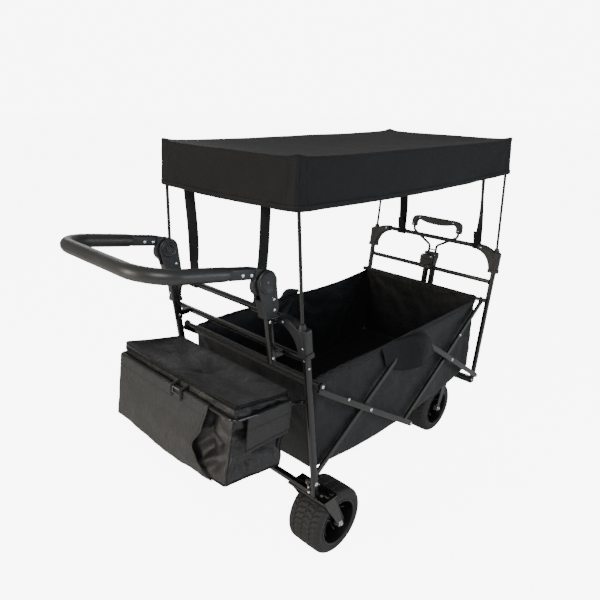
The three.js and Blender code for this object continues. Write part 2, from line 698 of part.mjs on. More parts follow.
// ---- pull handle, drawn upright from its pivot and leaned with the front frame
const grab = new THREE.Group();
grab.position.set(GRAB_X, 0, GRAB_Z);
grab.rotation.y = LEAN;
wagon.add(grab);
const grabTubes = [
  block([-9, -29, -9], [9, 29, 32]),
  block([-14, -30, GRAB_TUBE_TOP - 20], [14, 30, GRAB_TUBE_TOP]),
  strut([0, -41, 0], [0, 41, 0], ring(5, 12), [0, 0, 1]),
];
const grabBores = [];
for (const [, side] of SIDES) {
  const y = side * GRAB_TUBE_Y;
  grabTubes.push(rod([0, y, 20], [0, y, GRAB_TUBE_TOP - 5], GRAB_TUBE_R, 12));
  grabBores.push(rod([0, y, 40], [0, y, GRAB_TUBE_TOP + 5], GRAB_ROD_R + 1, 10));
}
add('pull_handle_tubes', cut(join(...grabTubes), ...grabBores), steel, grab);

const GRIP_LOW = 550;
const GRIP_HIGH = 598;
const GRIP_HALF = 115;
const GRIP_INSIDE = 93;
const GRIP_ROD_Y = 103; // where the rods enter the ends of the grip
const rods = SIDES.map(([, side]) => [
  [0, side * GRAB_TUBE_Y, 80],
  [0, side * GRAB_TUBE_Y, 484],
  [0, side * (GRIP_ROD_Y - 1), 534],
  [0, side * GRIP_ROD_Y, GRIP_LOW + 17],
]);
const rodPair = rods.map((corners) => bentTube(corners, 16, GRAB_ROD_R, { sides: 8, perBend: 3 }));
const yoke = block([-GRAB_ROD_R, -GRAB_TUBE_Y, 462], [GRAB_ROD_R, GRAB_TUBE_Y, 468]);
add('pull_handle_rods', join(...rodPair, yoke), steel, grab);

const gripOutline = new THREE.Shape();
gripOutline.moveTo(GRIP_HALF - 1, GRIP_LOW);
gripOutline.lineTo(GRIP_HALF, GRIP_LOW + 22);
gripOutline.quadraticCurveTo(GRIP_HALF, GRIP_HIGH, GRIP_HALF - 37, GRIP_HIGH);
gripOutline.lineTo(37 - GRIP_HALF, GRIP_HIGH);
gripOutline.quadraticCurveTo(-GRIP_HALF, GRIP_HIGH, -GRIP_HALF, GRIP_LOW + 22);
gripOutline.lineTo(1 - GRIP_HALF, GRIP_LOW);
gripOutline.lineTo(-GRIP_INSIDE, GRIP_LOW);
gripOutline.lineTo(-GRIP_INSIDE, GRIP_LOW + 16);
gripOutline.quadraticCurveTo(-GRIP_INSIDE, GRIP_LOW + 30, 21 - GRIP_INSIDE, GRIP_LOW + 29);
gripOutline.quadraticCurveTo(-46, GRIP_LOW + 19, 0, GRIP_LOW + 19);
gripOutline.quadraticCurveTo(46, GRIP_LOW + 19, GRIP_INSIDE - 21, GRIP_LOW + 29);
gripOutline.quadraticCurveTo(GRIP_INSIDE, GRIP_LOW + 30, GRIP_INSIDE, GRIP_LOW + 16);
gripOutline.lineTo(GRIP_INSIDE, GRIP_LOW);
const gripGeometry = new THREE.ExtrudeGeometry(gripOutline, { depth: 22, bevelEnabled: false, curveSegments: 6 });
gripGeometry.translate(0, 0, -11);
gripGeometry.applyMatrix4(
  new THREE.Matrix4().makeBasis(
    new THREE.Vector3(0, 1, 0),
    new THREE.Vector3(0, 0, 1),
    new THREE.Vector3(1, 0, 0),
  ),
);
const gripPockets = SIDES.map(([, side]) =>
  rod([0, side * (GRIP_ROD_Y - 0.4), GRIP_LOW - 12], [0, side * (GRIP_ROD_Y + 0.3), GRIP_LOW + 18], GRAB_ROD_R + 1),
);
add('pull_handle_grip', cut(solid(gripGeometry), ...gripPockets), plastic, grab);

// ---- soft goods as plain shells
const WALL = 3;
const canopyShell = cut(
  block([-CANOPY_HALF_X, -CANOPY_HALF_Y, CANOPY_Z - CANOPY_DROP], [CANOPY_HALF_X, CANOPY_HALF_Y, CANOPY_Z]),
  block(
    [-CANOPY_HALF_X + 2, -CANOPY_HALF_Y + 2, CANOPY_Z - CANOPY_DROP - 1],
    [CANOPY_HALF_X - 2, CANOPY_HALF_Y - 2, CANOPY_Z - 2],
  ),
);
add('canopy', canopyShell, cloth);

const basketShell = cut(
  block([-BASKET_HALF_X, -BASKET_HALF_Y, BASKET_LOW_Z], [BASKET_HALF_X, BASKET_HALF_Y, BASKET_TOP_Z]),
  block(
    [-BASKET_HALF_X + WALL, -BASKET_HALF_Y + WALL, BASKET_LOW_Z + WALL],
    [BASKET_HALF_X - WALL, BASKET_HALF_Y - WALL, BASKET_TOP_Z + 1],
  ),
);
add('basket', basketShell, cloth);

// ---- webbing straps from the canopy to the top bars: [end, label, side, y at the canopy, y at the bar]
const STRAPS = [
  ['rear', 'right', -1, -166, -110],
  ['rear', 'left', -1, 166, 176],
  ['front', 'right', 1, -192, -198],
  ['front', 'left', 1, 165, 148],
];
for (const [where, label, end, yTop, yLow] of STRAPS) {
  const top = [end * 561, yTop, CANOPY_Z - 48];
  const low = [leanX(end, TOP_BAR_Z), yLow, TOP_BAR_Z + 16];
  add(`${where}_strap_${label}`, strut(top, low, roundedRect(38, 2, 0.8)), cloth);
}

export default wagon;
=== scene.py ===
# Folding kids pull wagon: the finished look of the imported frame.
# Every length below is in millimetres in the part's own drawing frame: x = 0 midway between the two
# end frames, y = 0 in the middle, z = 0 at a level DATUM_LIFT above the floor. place() turns it into the
# row frame in metres.
import math

import bmesh
import bpy
from mathutils import Matrix, Vector, noise


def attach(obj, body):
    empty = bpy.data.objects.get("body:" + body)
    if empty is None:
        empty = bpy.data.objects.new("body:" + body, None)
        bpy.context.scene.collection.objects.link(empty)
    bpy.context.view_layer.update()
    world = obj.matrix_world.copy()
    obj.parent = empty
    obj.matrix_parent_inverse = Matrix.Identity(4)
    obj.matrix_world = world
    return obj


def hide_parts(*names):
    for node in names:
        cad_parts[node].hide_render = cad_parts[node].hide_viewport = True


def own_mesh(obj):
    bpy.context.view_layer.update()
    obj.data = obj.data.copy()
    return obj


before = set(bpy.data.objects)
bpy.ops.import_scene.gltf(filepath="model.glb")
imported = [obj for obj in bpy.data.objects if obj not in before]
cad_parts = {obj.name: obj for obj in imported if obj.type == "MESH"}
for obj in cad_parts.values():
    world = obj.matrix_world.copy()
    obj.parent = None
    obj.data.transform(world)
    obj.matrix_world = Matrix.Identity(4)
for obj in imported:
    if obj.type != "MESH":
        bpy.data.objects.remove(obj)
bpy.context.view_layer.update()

# ---------------------------------------------------------------- driving dimensions
MIDDLE_X, DATUM_LIFT = 178.2, 12.5
HALF_SPAN, PIVOT_Z = 481, 273
LEAN = math.radians(6.97)
LEG_Y, LEG_DEEP, LEG_WIDE, REAR_FOOT_Z, FRONT_FOOT_Z = 287, 20, 15, 225, 238
BRACKET_Z, BRACKET_TALL, BRACKET_THICK = 772, 80, 26
TOP_BAR_Z, TOP_BAR_HALF, BAR_TALL, BAR_THICK = 782, 206, 16, 15
REAR_MID_Z, FRONT_MID_Z = 683, 656
HUB_Z, LOW_HUB_Z = 586, 263
CROSS_X, CROSS_Z = 248.18, 424.5
LINK_DEEP, LINK_THICK, OUTER_LINK_Y, INNER_LINK_Y = 18, 8.6, 300, 274.2
ROD_X, ROD_Z, ROD_R = 482, 593, 6.5
WHEEL_R, WHEEL_Z, TYRE_WIDE, RIM_R, AXLE_R = 107.5, 95, 122, 72, 6
REAR_AXLE_X, REAR_WHEEL_Y, FRONT_AXLE_X, FRONT_WHEEL_Y = -392, 257, 420, 120
SWIVEL_X, PLATE_Z = 456, 210
HINGE_X, HINGE_Z, HINGE_Y, HINGE_R = -608, 894, 206, 31
HANDLE_RISE = math.radians(9.3)
HANDLE_REACH, HANDLE_OFFSET, ARM_OFFSET, FOAM_R = 324, 22.5, 48, 17.8
HANDLE_BEND, SLEEVE_END = 85, 117
BAG_TILT = math.radians(10)
BAG_X, BAG_Z, BAG_LONG, BAG_HALF, BAG_DEEP = -547, 575, 195, 249, 205
CANOPY_HALF_X, CANOPY_HALF_Y, CANOPY_Z, CANOPY_DROP, POLE_R = 566, 269, 1198, 130, 4.7
GRAB_X, GRAB_Z, GRAB_TUBE_Y, GRAB_TUBE_R, GRAB_TUBE_TOP, GRAB_ROD_R = 501.7, 262, 16, 12, 455, 5
SIDES = (("right", -1), ("left", 1))
X_AXIS, Y_AXIS, Z_AXIS = Vector((1, 0, 0)), Vector((0, 1, 0)), Vector((0, 0, 1))


def place(p):
    return Vector(((p[0] + MIDDLE_X) / 1000, p[1] / 1000, (p[2] + DATUM_LIFT) / 1000))


def lean_x(end, z, out=0):
    return end * (HALF_SPAN + (z - PIVOT_Z) * math.tan(LEAN) + out)


def on_frame(end, y, z, out=0):
    return Vector((lean_x(end, z, out), y, z))


def turned_about(x, z, angle):
    """Drawing frame of a part that is turned by angle about +Y at (x, z)."""
    return Matrix.Translation((x, 0, z)) @ Matrix.Rotation(angle, 4, "Y")


# ---------------------------------------------------------------- camera, light and floor
def camera():
    data = bpy.data.cameras.new("camera")
    data.lens = 33.32
    obj = bpy.data.objects.new("camera", data)
    bpy.context.scene.collection.objects.link(obj)
    azimuth, elevation, roll = math.radians(-47.15), math.radians(20.29), math.radians(1.59)
    back = Vector(
        (
            math.sin(azimuth) * math.cos(elevation),
            -math.cos(azimuth) * math.cos(elevation),
            math.sin(elevation),
        )
    )
    right = Z_AXIS.cross(back).normalized()
    up = back.cross(right)
    r = math.cos(roll) * right + math.sin(roll) * up
    u = -math.sin(roll) * right + math.cos(roll) * up
    turn = Matrix((r, u, back)).transposed().to_4x4()
    obj.matrix_world = Matrix.Translation(place((-1485, -1142, 1321))) @ turn
    bpy.context.scene.camera = obj


def area_light(name, at, look, size, power, tint=(1.0, 1.0, 1.0)):
    data = bpy.data.lights.new(name, "AREA")
    data.shape = "RECTANGLE"
    data.size, data.size_y = size
    data.energy, data.color = power, tint
    obj = bpy.data.objects.new(name, data)
    bpy.context.scene.collection.objects.link(obj)
    obj.location = at
    obj.rotation_euler = (Vector(look) - Vector(at)).to_track_quat("-Z", "Y").to_euler()


def studio():
    """A white room to the eye, and a dimmer one for what falls on the wagon, with soft boxes round it."""
    world = bpy.data.worlds.new("studio")
    world.use_nodes = True
    tree = world.node_tree
    shown = tree.nodes["Background"]
    shown.inputs["Color"].default_value = (1.0, 1.0, 1.0, 1.0)
    shown.inputs["Strength"].default_value = 8.0
    soft = tree.nodes.new("ShaderNodeBackground")
    soft.inputs["Color"].default_value = (1.0, 1.0, 1.0, 1.0)
    soft.inputs["Strength"].default_value = 0.34
    seen = tree.nodes.new("ShaderNodeLightPath")
    pick = tree.nodes.new("ShaderNodeMixShader")
    tree.links.new(seen.outputs["Is Camera Ray"], pick.inputs[0])
    tree.links.new(soft.outputs[0], pick.inputs[1])
    tree.links.new(shown.outputs[0], pick.inputs[2])
    tree.links.new(pick.outputs[0], tree.nodes["World Output"].inputs["Surface"])
    bpy.context.scene.world = world
    area_light("key", (-1.9, -2.3, 2.7), (0, 0, 0.5), (1.2, 0.9), 62)
    area_light("fill", (-3.4, 0.9, 1.5), (0, 0, 0.6), (0.7, 1.8), 74, (1.0, 0.92, 0.78))
    area_light("side", (1.6, -3.2, 1.3), (0, 0, 0.5), (0.9, 1.2), 34, (0.82, 0.91, 1.0))
    area_light("back", (1.0, 3.6, 2.2), (0, 0, 0.6), (1.6, 1.0), 14)
    bpy.ops.mesh.primitive_plane_add(size=60, location=(0, 0, 0))
    floor = bpy.context.object
    floor.name = "floor"
    pale = bpy.data.materials.new("floor_pale")
    pale.use_nodes = True
    tree = pale.node_tree
    shader = tree.nodes["Principled BSDF"]
    shader.inputs["Base Color"].default_value = (0.93, 0.93, 0.93, 1)
    shader.inputs["Roughness"].default_value = 0.9
    glow = tree.nodes.new("ShaderNodeEmission")
    glow.inputs["Color"].default_value = (1.0, 1.0, 1.0, 1.0)
    glow.inputs["Strength"].default_value = 7.4
    seen = tree.nodes.new("ShaderNodeLightPath")
    both = tree.nodes.new("ShaderNodeAddShader")
    pick = tree.nodes.new("ShaderNodeMixShader")
    tree.links.new(shader.outputs[0], both.inputs[0])
    tree.links.new(glow.outputs[0], both.inputs[1])
    tree.links.new(seen.outputs["Is Camera Ray"], pick.inputs[0])
    tree.links.new(shader.outputs[0], pick.inputs[1])
    tree.links.new(both.outputs[0], pick.inputs[2])
    tree.links.new(pick.outputs[0], tree.nodes["Material Output"].inputs["Surface"])
    floor.data.materials.append(pale)


# ---------------------------------------------------------------- materials
class Nodes:
    """A short way to wire a material's nodes."""

    def __init__(self, name):
        self.material = bpy.data.materials.new(name)
        self.material.use_nodes = True
        self.tree = self.material.node_tree
        self.shader = self.tree.nodes["Principled BSDF"]

    def node(self, kind, **inputs):
        made = self.tree.nodes.new("ShaderNode" + kind)
        for key, value in inputs.items():
            socket = made.inputs[int(key[1:])] if key[0] == "i" and key[1:].isdigit() else None
            if socket is None:
                socket = made.inputs[key.replace("_", " ")]
            if hasattr(value, "links"):
                self.tree.links.new(value, socket)
            else:
                socket.default_value = value
        return made

    def math(self, operation, a, b=0.0):
        made = self.tree.nodes.new("ShaderNodeMath")
        made.operation = operation
        for i, value in enumerate((a, b)):
            if hasattr(value, "links"):
                self.tree.links.new(value, made.inputs[i])
            else:
                made.inputs[i].default_value = value
        return made.outputs[0]

    def ramp(self, factor, stops):
        made = self.tree.nodes.new("ShaderNodeValToRGB")
        self.tree.links.new(factor, made.inputs[0])
        elements = made.color_ramp.elements
        while len(elements) < len(stops):
            elements.new(0.5)
        for element, (at, color) in zip(elements, stops):
            element.position = at
            element.color = (*color, 1)
        return made.outputs[0]

    def coordinates(self, kind="Object"):
        return self.tree.nodes.new("ShaderNodeTexCoord").outputs[kind]

    def scaled(self, vector, scale):
        return self.node("Mapping", Vector=vector, Scale=scale).outputs[0]

    def noise(self, vector, scale, detail=3.0, rough=0.5):
        made = self.node("TexNoise", Vector=vector, Scale=scale, Detail=detail, Roughness=rough)
        return made.outputs[0]

    def bump(self, height, strength, distance, under=None):
        made = self.node("Bump", Height=height, Strength=strength, Distance=distance)
        if under is not None:
            self.tree.links.new(under, made.inputs["Normal"])
        return made.outputs[0]

    def link(self, output, socket):
        self.tree.links.new(output, self.shader.inputs[socket])

    def set(self, **values):
        for key, value in values.items():
            self.shader.inputs[key.replace("_", " ")].default_value = value
        return self


def shade(color, factor):
    return tuple(min(1.0, c * factor) for c in color)


def coated(name, color, rough, metal, grain, depth, wear=0.0):
    """Powder coat, moulded plastic, foam or rubber: a grain bump, soft blotches and a worn tint."""
    n = Nodes(name)
    at = n.coordinates()
    blotch = n.noise(at, 9.0, 4.0)
    fine = n.noise(at, grain, 2.0)
    tone = n.ramp(blotch, [(0.32, shade(color, 0.8)), (0.55, color), (0.75, shade(color, 1.25 + wear))])
    n.link(tone, "Base Color")
    spread = n.math("MULTIPLY_ADD", blotch, 0.16)
    n.tree.nodes[-1].inputs[2].default_value = rough - 0.08
    n.link(spread, "Roughness")
    n.link(n.bump(fine, 0.5, depth), "Normal")
    n.set(Metallic=metal, Specular_IOR_Level=0.55)
    return n.material


def woven(name, color, pitch, rough=0.82, sheen=0.25, wrinkle=0.0, ribs=False, depth=0.00022, gloss=0.22):
    """Cloth: a plain or ribbed weave of the given pitch in metres, laid out by the piece's UVs."""
    n = Nodes(name)
    at = n.coordinates("UV")
    turns = math.pi / pitch
    split = n.node("SeparateXYZ", Vector=at)
    warp = n.math("ABSOLUTE", n.math("SINE", n.math("MULTIPLY", split.outputs[0], turns)))
    weft = n.math("ABSOLUTE", n.math("SINE", n.math("MULTIPLY", split.outputs[1], turns)))
    thread = n.math("MULTIPLY", warp, 1.0 if ribs else weft)
    if ribs:
        thread = n.math("MAXIMUM", warp, n.math("MULTIPLY", weft, 0.55))
    where = n.coordinates()
    blotch = n.noise(where, 5.0, 5.0, 0.6)
    slub = n.noise(n.scaled(at, (1.0, 14.0, 1.0)), 90.0, 2.0)
    mixed = n.math("ADD", n.math("MULTIPLY", blotch, 0.65), n.math("MULTIPLY", slub, 0.35))
    tone = n.ramp(mixed, [(0.3, shade(color, 0.72)), (0.52, color), (0.74, shade(color, 1.4))])
    dim = n.node("Mix", i0=1.0)
    dim.data_type = "RGBA"
    dim.blend_type = "MULTIPLY"
    dim.inputs[0].default_value = 0.45
    n.tree.links.new(tone, dim.inputs[6])
    n.tree.links.new(n.ramp(thread, [(0.0, (0.45, 0.45, 0.45)), (0.7, (1, 1, 1))]), dim.inputs[7])
    n.link(dim.outputs[2], "Base Color")
    normal = n.bump(thread, 0.55, depth)
    if wrinkle:
        creases = n.noise(n.scaled(where, (1.0, 1.0, 0.55)), 26.0, 5.0, 0.62)
        normal = n.bump(creases, 0.8, wrinkle, normal)
    n.link(normal, "Normal")
    n.set(Roughness=rough, Sheen_Weight=sheen, Sheen_Roughness=0.45, Specular_IOR_Level=gloss)
    return n.material


def brushed(name, color, rough):
    n = Nodes(name)
    at = n.coordinates()
    lines = n.noise(n.scaled(at, (60.0, 60.0, 900.0)), 6.0, 3.0)
    n.link(n.ramp(lines, [(0.3, shade(color, 0.8)), (0.7, color)]), "Base Color")
    n.link(n.ramp(lines, [(0.3, (rough,) * 3), (0.7, (rough + 0.14,) * 3)]), "Roughness")
    n.link(n.bump(lines, 0.2, 0.0001), "Normal")
    n.set(Metallic=1.0)
    return n.material


STEEL = coated("powder_coat", (0.0045, 0.0045, 0.0044), 0.27, 0.0, 1800.0, 0.00008)
TUBE = coated("tube_coat", (0.005, 0.005, 0.0048), 0.23, 0.0, 1800.0, 0.00006)
PLASTIC = coated("moulded_plastic", (0.0075, 0.0085, 0.0105), 0.47, 0.0, 1300.0, 0.00013)
FOAM = coated("grip_foam", (0.021, 0.021, 0.021), 0.4, 0.0, 900.0, 0.00025)
RUBBER = coated("tyre_rubber", (0.010, 0.0095, 0.009), 0.68, 0.0, 700.0, 0.0003, 0.3)
RIM_BLACK = coated("rim_plastic", (0.0035, 0.0035, 0.004), 0.36, 0.0, 900.0, 0.00008)
ZINC = brushed("bright_zinc", (0.8, 0.81, 0.82), 0.2)
DARK_ZINC = brushed("dark_zinc", (0.2, 0.2, 0.2), 0.35)
CANVAS = woven("canopy_canvas", (0.0065, 0.0066, 0.0075), 0.0012, 0.6, 0.02, 0.0016, gloss=0.2)
BASKET_CLOTH = woven("basket_cloth", (0.0034, 0.0038, 0.0052), 0.0012, 0.5, 0.03, 0.0035, gloss=0.32)
NYLON = woven("bag_nylon", (0.0068, 0.0067, 0.0068), 0.001, 0.42, 0.02, 0.003, gloss=0.5)
WEBBING = woven("strap_webbing", (0.005, 0.0052, 0.006), 0.0021, ribs=True, depth=0.0005)
VELCRO = woven("velcro", (0.004, 0.004, 0.0045), 0.0016, 0.95, 0.03, 0.001)
PIPING = woven("piping", (0.006, 0.006, 0.0068), 0.0014, 0.55, 0.03)
THREAD = woven("thread", (0.03, 0.03, 0.033), 0.001, 0.7, 0.05)


# ---------------------------------------------------------------- shapes
class Piece:
    """One mesh made of several shapes, each with its own finish."""

    def __init__(self, name, *materials):
        self.name, self.materials = name, list(materials)
        self.points, self.faces, self.slots, self.uvs = [], [], [], []

    def add(self, shape, material=None, turn=None):
        points, faces = shape[:2]
        uvs = shape[2] if len(shape) > 2 else None
        if material is not None and material not in self.materials:
            self.materials.append(material)
        index = self.materials.index(material) if material is not None else 0
        first = len(self.points)
        self.points += [turn @ Vector(p) if turn else Vector(p) for p in points]
        for i, face in enumerate(faces):
            self.faces.append([first + v for v in face])
            self.slots.append(index)
            self.uvs.append([uvs[v] for v in face] if uvs else None)
        return self

    def build(self, body, slot, replaces=(), sharp=38, thick=0.0):
        mesh = bpy.data.meshes.new(self.name)
        mesh.from_pydata([place(p) for p in self.points], [], self.faces)
        for polygon, index in zip(mesh.polygons, self.slots):
            polygon.material_index = index
        layer = mesh.uv_layers.new(name="UVMap")
        for polygon, uv in zip(mesh.polygons, self.uvs):
            for k, loop in enumerate(polygon.loop_indices):
                if uv:
                    layer.data[loop].uv = uv[k]
                else:
                    co = mesh.vertices[mesh.loops[loop].vertex_index].co
                    layer.data[loop].uv = (co.x + co.y, co.z + 0.5 * co.y)
        for material in self.materials:
            mesh.materials.append(material)
        bm = bmesh.new()
        bm.from_mesh(mesh)
        bmesh.ops.remove_doubles(bm, verts=bm.verts, dist=1e-6)
        if not thick:
            bmesh.ops.recalc_face_normals(bm, faces=bm.faces)
        bm.to_mesh(mesh)
        bm.free()
        obj = bpy.data.objects.new(self.name, mesh)
        bpy.context.scene.collection.objects.link(obj)
        if thick:
            solid = obj.modifiers.new("thick", "SOLIDIFY")
            solid.thickness, solid.offset = thick / 1000, 0.0
        freeze(obj)
        obj.data.shade_smooth()
        if sharp < 180:
            obj.data.set_sharp_from_angle(angle=math.radians(sharp))
        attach(obj, body)
        if replaces:
            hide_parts(*([replaces] if isinstance(replaces, str) else replaces))
        return obj


def freeze(obj):
    """The modifiers become the piece's own mesh."""
    if not obj.modifiers:
        return
    graph = bpy.context.evaluated_depsgraph_get()
    final = bpy.data.meshes.new_from_object(obj.evaluated_get(graph))
    obj.modifiers.clear()
    obj.data = final


def rounded_section(wide, tall, radius, steps=4):
    """Points of a rounded rectangle, anticlockwise."""
    points = []
    for k, (sx, sy) in enumerate(((1, 1), (-1, 1), (-1, -1), (1, -1))):
        for i in range(steps + 1):
            a = (k + i / steps) * math.pi / 2
            points.append(
                (
                    sx * (wide / 2 - radius) + radius * math.cos(a),
                    sy * (tall / 2 - radius) + radius * math.sin(a),
                )
            )
    return points


def circle(radius, sides=20):
    return [
        (radius * math.cos(2 * math.pi * i / sides), radius * math.sin(2 * math.pi * i / sides))
        for i in range(sides)
    ]


def loft(rings, closed=True, capped=True):
    """A skin over rings that have the same number of points."""
    count = len(rings[0])
    points = [p for ring in rings for p in ring]
    faces = []
    spans = count if closed else count - 1
    for j in range(len(rings) - 1):
        for i in range(spans):
            k = (i + 1) % count
            faces.append([j * count + i, j * count + k, (j + 1) * count + k, (j + 1) * count + i])
    if capped:
        faces.append(list(range(count))[::-1])
        faces.append(list(range(len(points) - count, len(points))))
    return points, faces


def swept(path, section, side=None, capped=True):
    """A section carried along a path; the section's first axis keeps to side where it is given."""
    path = [Vector(p) for p in path]
    rings = []
    across = Vector(side) if side is not None else None
    for i, p in enumerate(path):
        ahead = path[min(i + 1, len(path) - 1)] - path[max(i - 1, 0)]
        ahead.normalize()
        if across is None:
            across = ahead.orthogonal()
        u = (across - ahead * across.dot(ahead)).normalized()
        v = ahead.cross(u)
        across = Vector(side) if side is not None else u
        stretch = 1.0
        rings.append([p + u * a * stretch + v * b for a, b in section])
    return loft(rings, capped=capped)


def rounded_path(corners, bend, steps=10):
    """The corners' polyline with each inner corner rounded to the bend radius."""
    corners = [Vector(c) for c in corners]
    path = [corners[0]]
    for a, b, c in zip(corners, corners[1:], corners[2:]):
        into, out = (b - a).normalized(), (c - b).normalized()
        angle = into.angle(out)
        if angle < 1e-3:
            path.append(b)
            continue
        reach = min(bend * math.tan(angle / 2), (b - a).length * 0.49, (c - b).length * 0.49)
        r = reach / math.tan(angle / 2)
        inward = (out - into).normalized()
        centre = b + inward * (r / math.cos(angle / 2))
        axis = into.cross(out).normalized()
        start = b - into * reach - centre
        for i in range(steps + 1):
            turn = Matrix.Rotation(angle * i / steps, 3, axis)
            path.append(centre + turn @ start)
    path.append(corners[-1])
    return path


def pipe(corners, bend, radius, sides=16, capped=True):
    return swept(rounded_path(corners, bend), circle(radius, sides), capped=capped)


def bar(a, b, wide, tall, radius, side=Y_AXIS):
    """A straight rounded tube; wide is measured along side. The ends are softened."""
    a, b = Vector(a), Vector(b)
    ahead = (b - a).normalized()
    soft = min(1.2, radius * 0.4)
    stations = [(a, 2 * soft), (a + ahead * soft, 0), (b - ahead * soft, 0), (b, 2 * soft)]
    u = (Vector(side) - ahead * Vector(side).dot(ahead)).normalized()
    v = ahead.cross(u)
    rings = [
        [p + u * x + v * y for x, y in rounded_section(wide - less, tall - less, radius)]
        for p, less in stations
    ]
    return loft(rings)


def turned(profile, at, axis=Y_AXIS, segments=28):
    """A profile of (radius, height) turned about an axis through at. Ends at radius 0 close it."""
    axis = Vector(axis).normalized()
    u = axis.orthogonal().normalized()
    v = axis.cross(u)
    rings = []
    for r, h in profile:
        r = max(r, 1e-3)
        rings.append(
            [
                Vector(at) + axis * h + (u * math.cos(t) + v * math.sin(t)) * r
                for t in (2 * math.pi * i / segments for i in range(segments))
            ]
        )
    return loft(rings, capped=True)


def slab(outline, low, high, lay="XZ", soft=1.0):
    """A flat outline made thick from low to high, with softened edges. lay names the outline's plane."""
    count = len(outline)
    area = sum(
        outline[i][0] * outline[(i + 1) % count][1] - outline[(i + 1) % count][0] * outline[i][1]
        for i in range(count)
    )
    if area < 0:
        outline = outline[::-1]
    shrunk = []
    for i in range(count):
        p, q, r = (Vector(outline[k % count]) for k in (i - 1, i, i + 1))
        n1 = Vector((-(q - p).y, (q - p).x))
        n2 = Vector((-(r - q).y, (r - q).x))
        normal = n1.normalized() + n2.normalized()
        shrunk.append(q + normal.normalized() * soft)
    put = {
        "XZ": lambda p, d: Vector((p[0], d, p[1])),
        "YZ": lambda p, d: Vector((d, p[0], p[1])),
        "XY": lambda p, d: Vector((p[0], p[1], d)),
    }[lay]
    rings = [
        [put(p, low) for p in shrunk],
        [put(p, low + soft) for p in outline],
        [put(p, high - soft) for p in outline],
        [put(p, high) for p in shrunk],
    ]
    return loft(rings)


def arc(x, z, radius, start, stop, steps=12):
    return [
        (
            x + radius * math.cos(start + (stop - start) * i / steps),
            z + radius * math.sin(start + (stop - start) * i / steps),
        )
        for i in range(steps + 1)
    ]


def curve(a, c, b, steps=8):
    """A quadratic curve from a to b with the handle c, without its first point."""
    return [
        tuple((1 - t) ** 2 * a[k] + 2 * t * (1 - t) * c[k] + t * t * b[k] for k in (0, 1))
        for t in (i / steps for i in range(1, steps + 1))
    ]


def dome(at, axis, radius=5.0, height=2.6):
    """A domed rivet head with a small washer line."""
    r, h = radius, height
    profile = [(r, -0.4), (r, 0.2 * h), (0.93 * r, 0.42 * h), (0.76 * r, 0.72 * h), (0.5 * r, 0.93 * h)]
    return turned(profile + [(0.2 * r, h), (0, h)], at, axis, 20)


def hex_bolt(at, axis, radius=6.0, height=4.0):
    """A washer with a hexagon head."""
    base = turned([(radius * 1.35, 0), (radius * 1.35, 0.9), (radius * 1.2, 1.2), (0, 1.2)], at, axis, 24)
    top = turned(
        [
            (radius, 1.2), (radius, height - 0.8), (radius * 0.88, height), (radius * 0.3, height + 0.3),
            (0, height)
        ],
        at,
        axis,
        6,
    )
    return base, top


def stitch_row(points, normals, long=3.2, gap=2.2, radius=0.42):
    """Short raised stitches along a line; each has its surface's normal."""
    shapes = []
    path = [Vector(p) for p in points]
    for a, b, n in zip(path, path[1:], normals):
        run = (b - a).length
        along = (b - a).normalized()
        start = 0.0
        while start + long < run:
            p = a + along * start + Vector(n) * 0.25
            q = p + along * long
            mid = (p + q) / 2 + Vector(n) * 0.35
            shapes.append(swept([p, mid, q], circle(radius, 5)))
            start += long + gap
    return shapes


# ---------------------------------------------------------------- end frames
def end_frame(end, where, foot_z, mid_z):
    tilt = Vector((math.sin(end * LEAN), 0, math.cos(LEAN)))
    piece = Piece(f"{where}_frame_tubes", STEEL, ZINC, DARK_ZINC)
    for _, side in SIDES:
        y = side * LEG_Y
        piece.add(
            bar(on_frame(end, y, foot_z + 2), on_frame(end, y, BRACKET_Z - 42), LEG_WIDE, LEG_DEEP, 4.5)
        )
        for z, radius in ((BRACKET_Z - 112, 3.4), (mid_z, 0)):
            if radius:
                piece.add(dome(on_frame(end, y + side * LEG_WIDE / 2, z), side * Y_AXIS, radius, 1.8), ZINC)
        inside = end * (LEG_DEEP / 2 + 0.2)
        piece.add(
            dome(on_frame(end, side * (LEG_Y - 1), mid_z, end * inside), end * X_AXIS, 3.2, 1.6),
            DARK_ZINC
        )
    reach = LEG_Y - LEG_WIDE / 2
    piece.add(
        bar(on_frame(end, -reach, mid_z), on_frame(end, reach, mid_z), BAR_TALL, BAR_THICK, 4.5, tilt)
    )
    for _, side in SIDES:  # weld beads where the cross bar meets the legs
        at = on_frame(end, side * (reach - 0.4), mid_z)
        section = rounded_section(BAR_TALL + 3.2, BAR_THICK + 3.2, 5)
        rings = []
        for out, grow in ((0, 1.0), (-1.6, 0.97), (-2.6, 0.9)):
            centre = at + side * Y_AXIS * out
            rings.append([centre + tilt * a * grow + X_AXIS * b * grow for a, b in section])
        piece.add(loft(rings))
    return piece


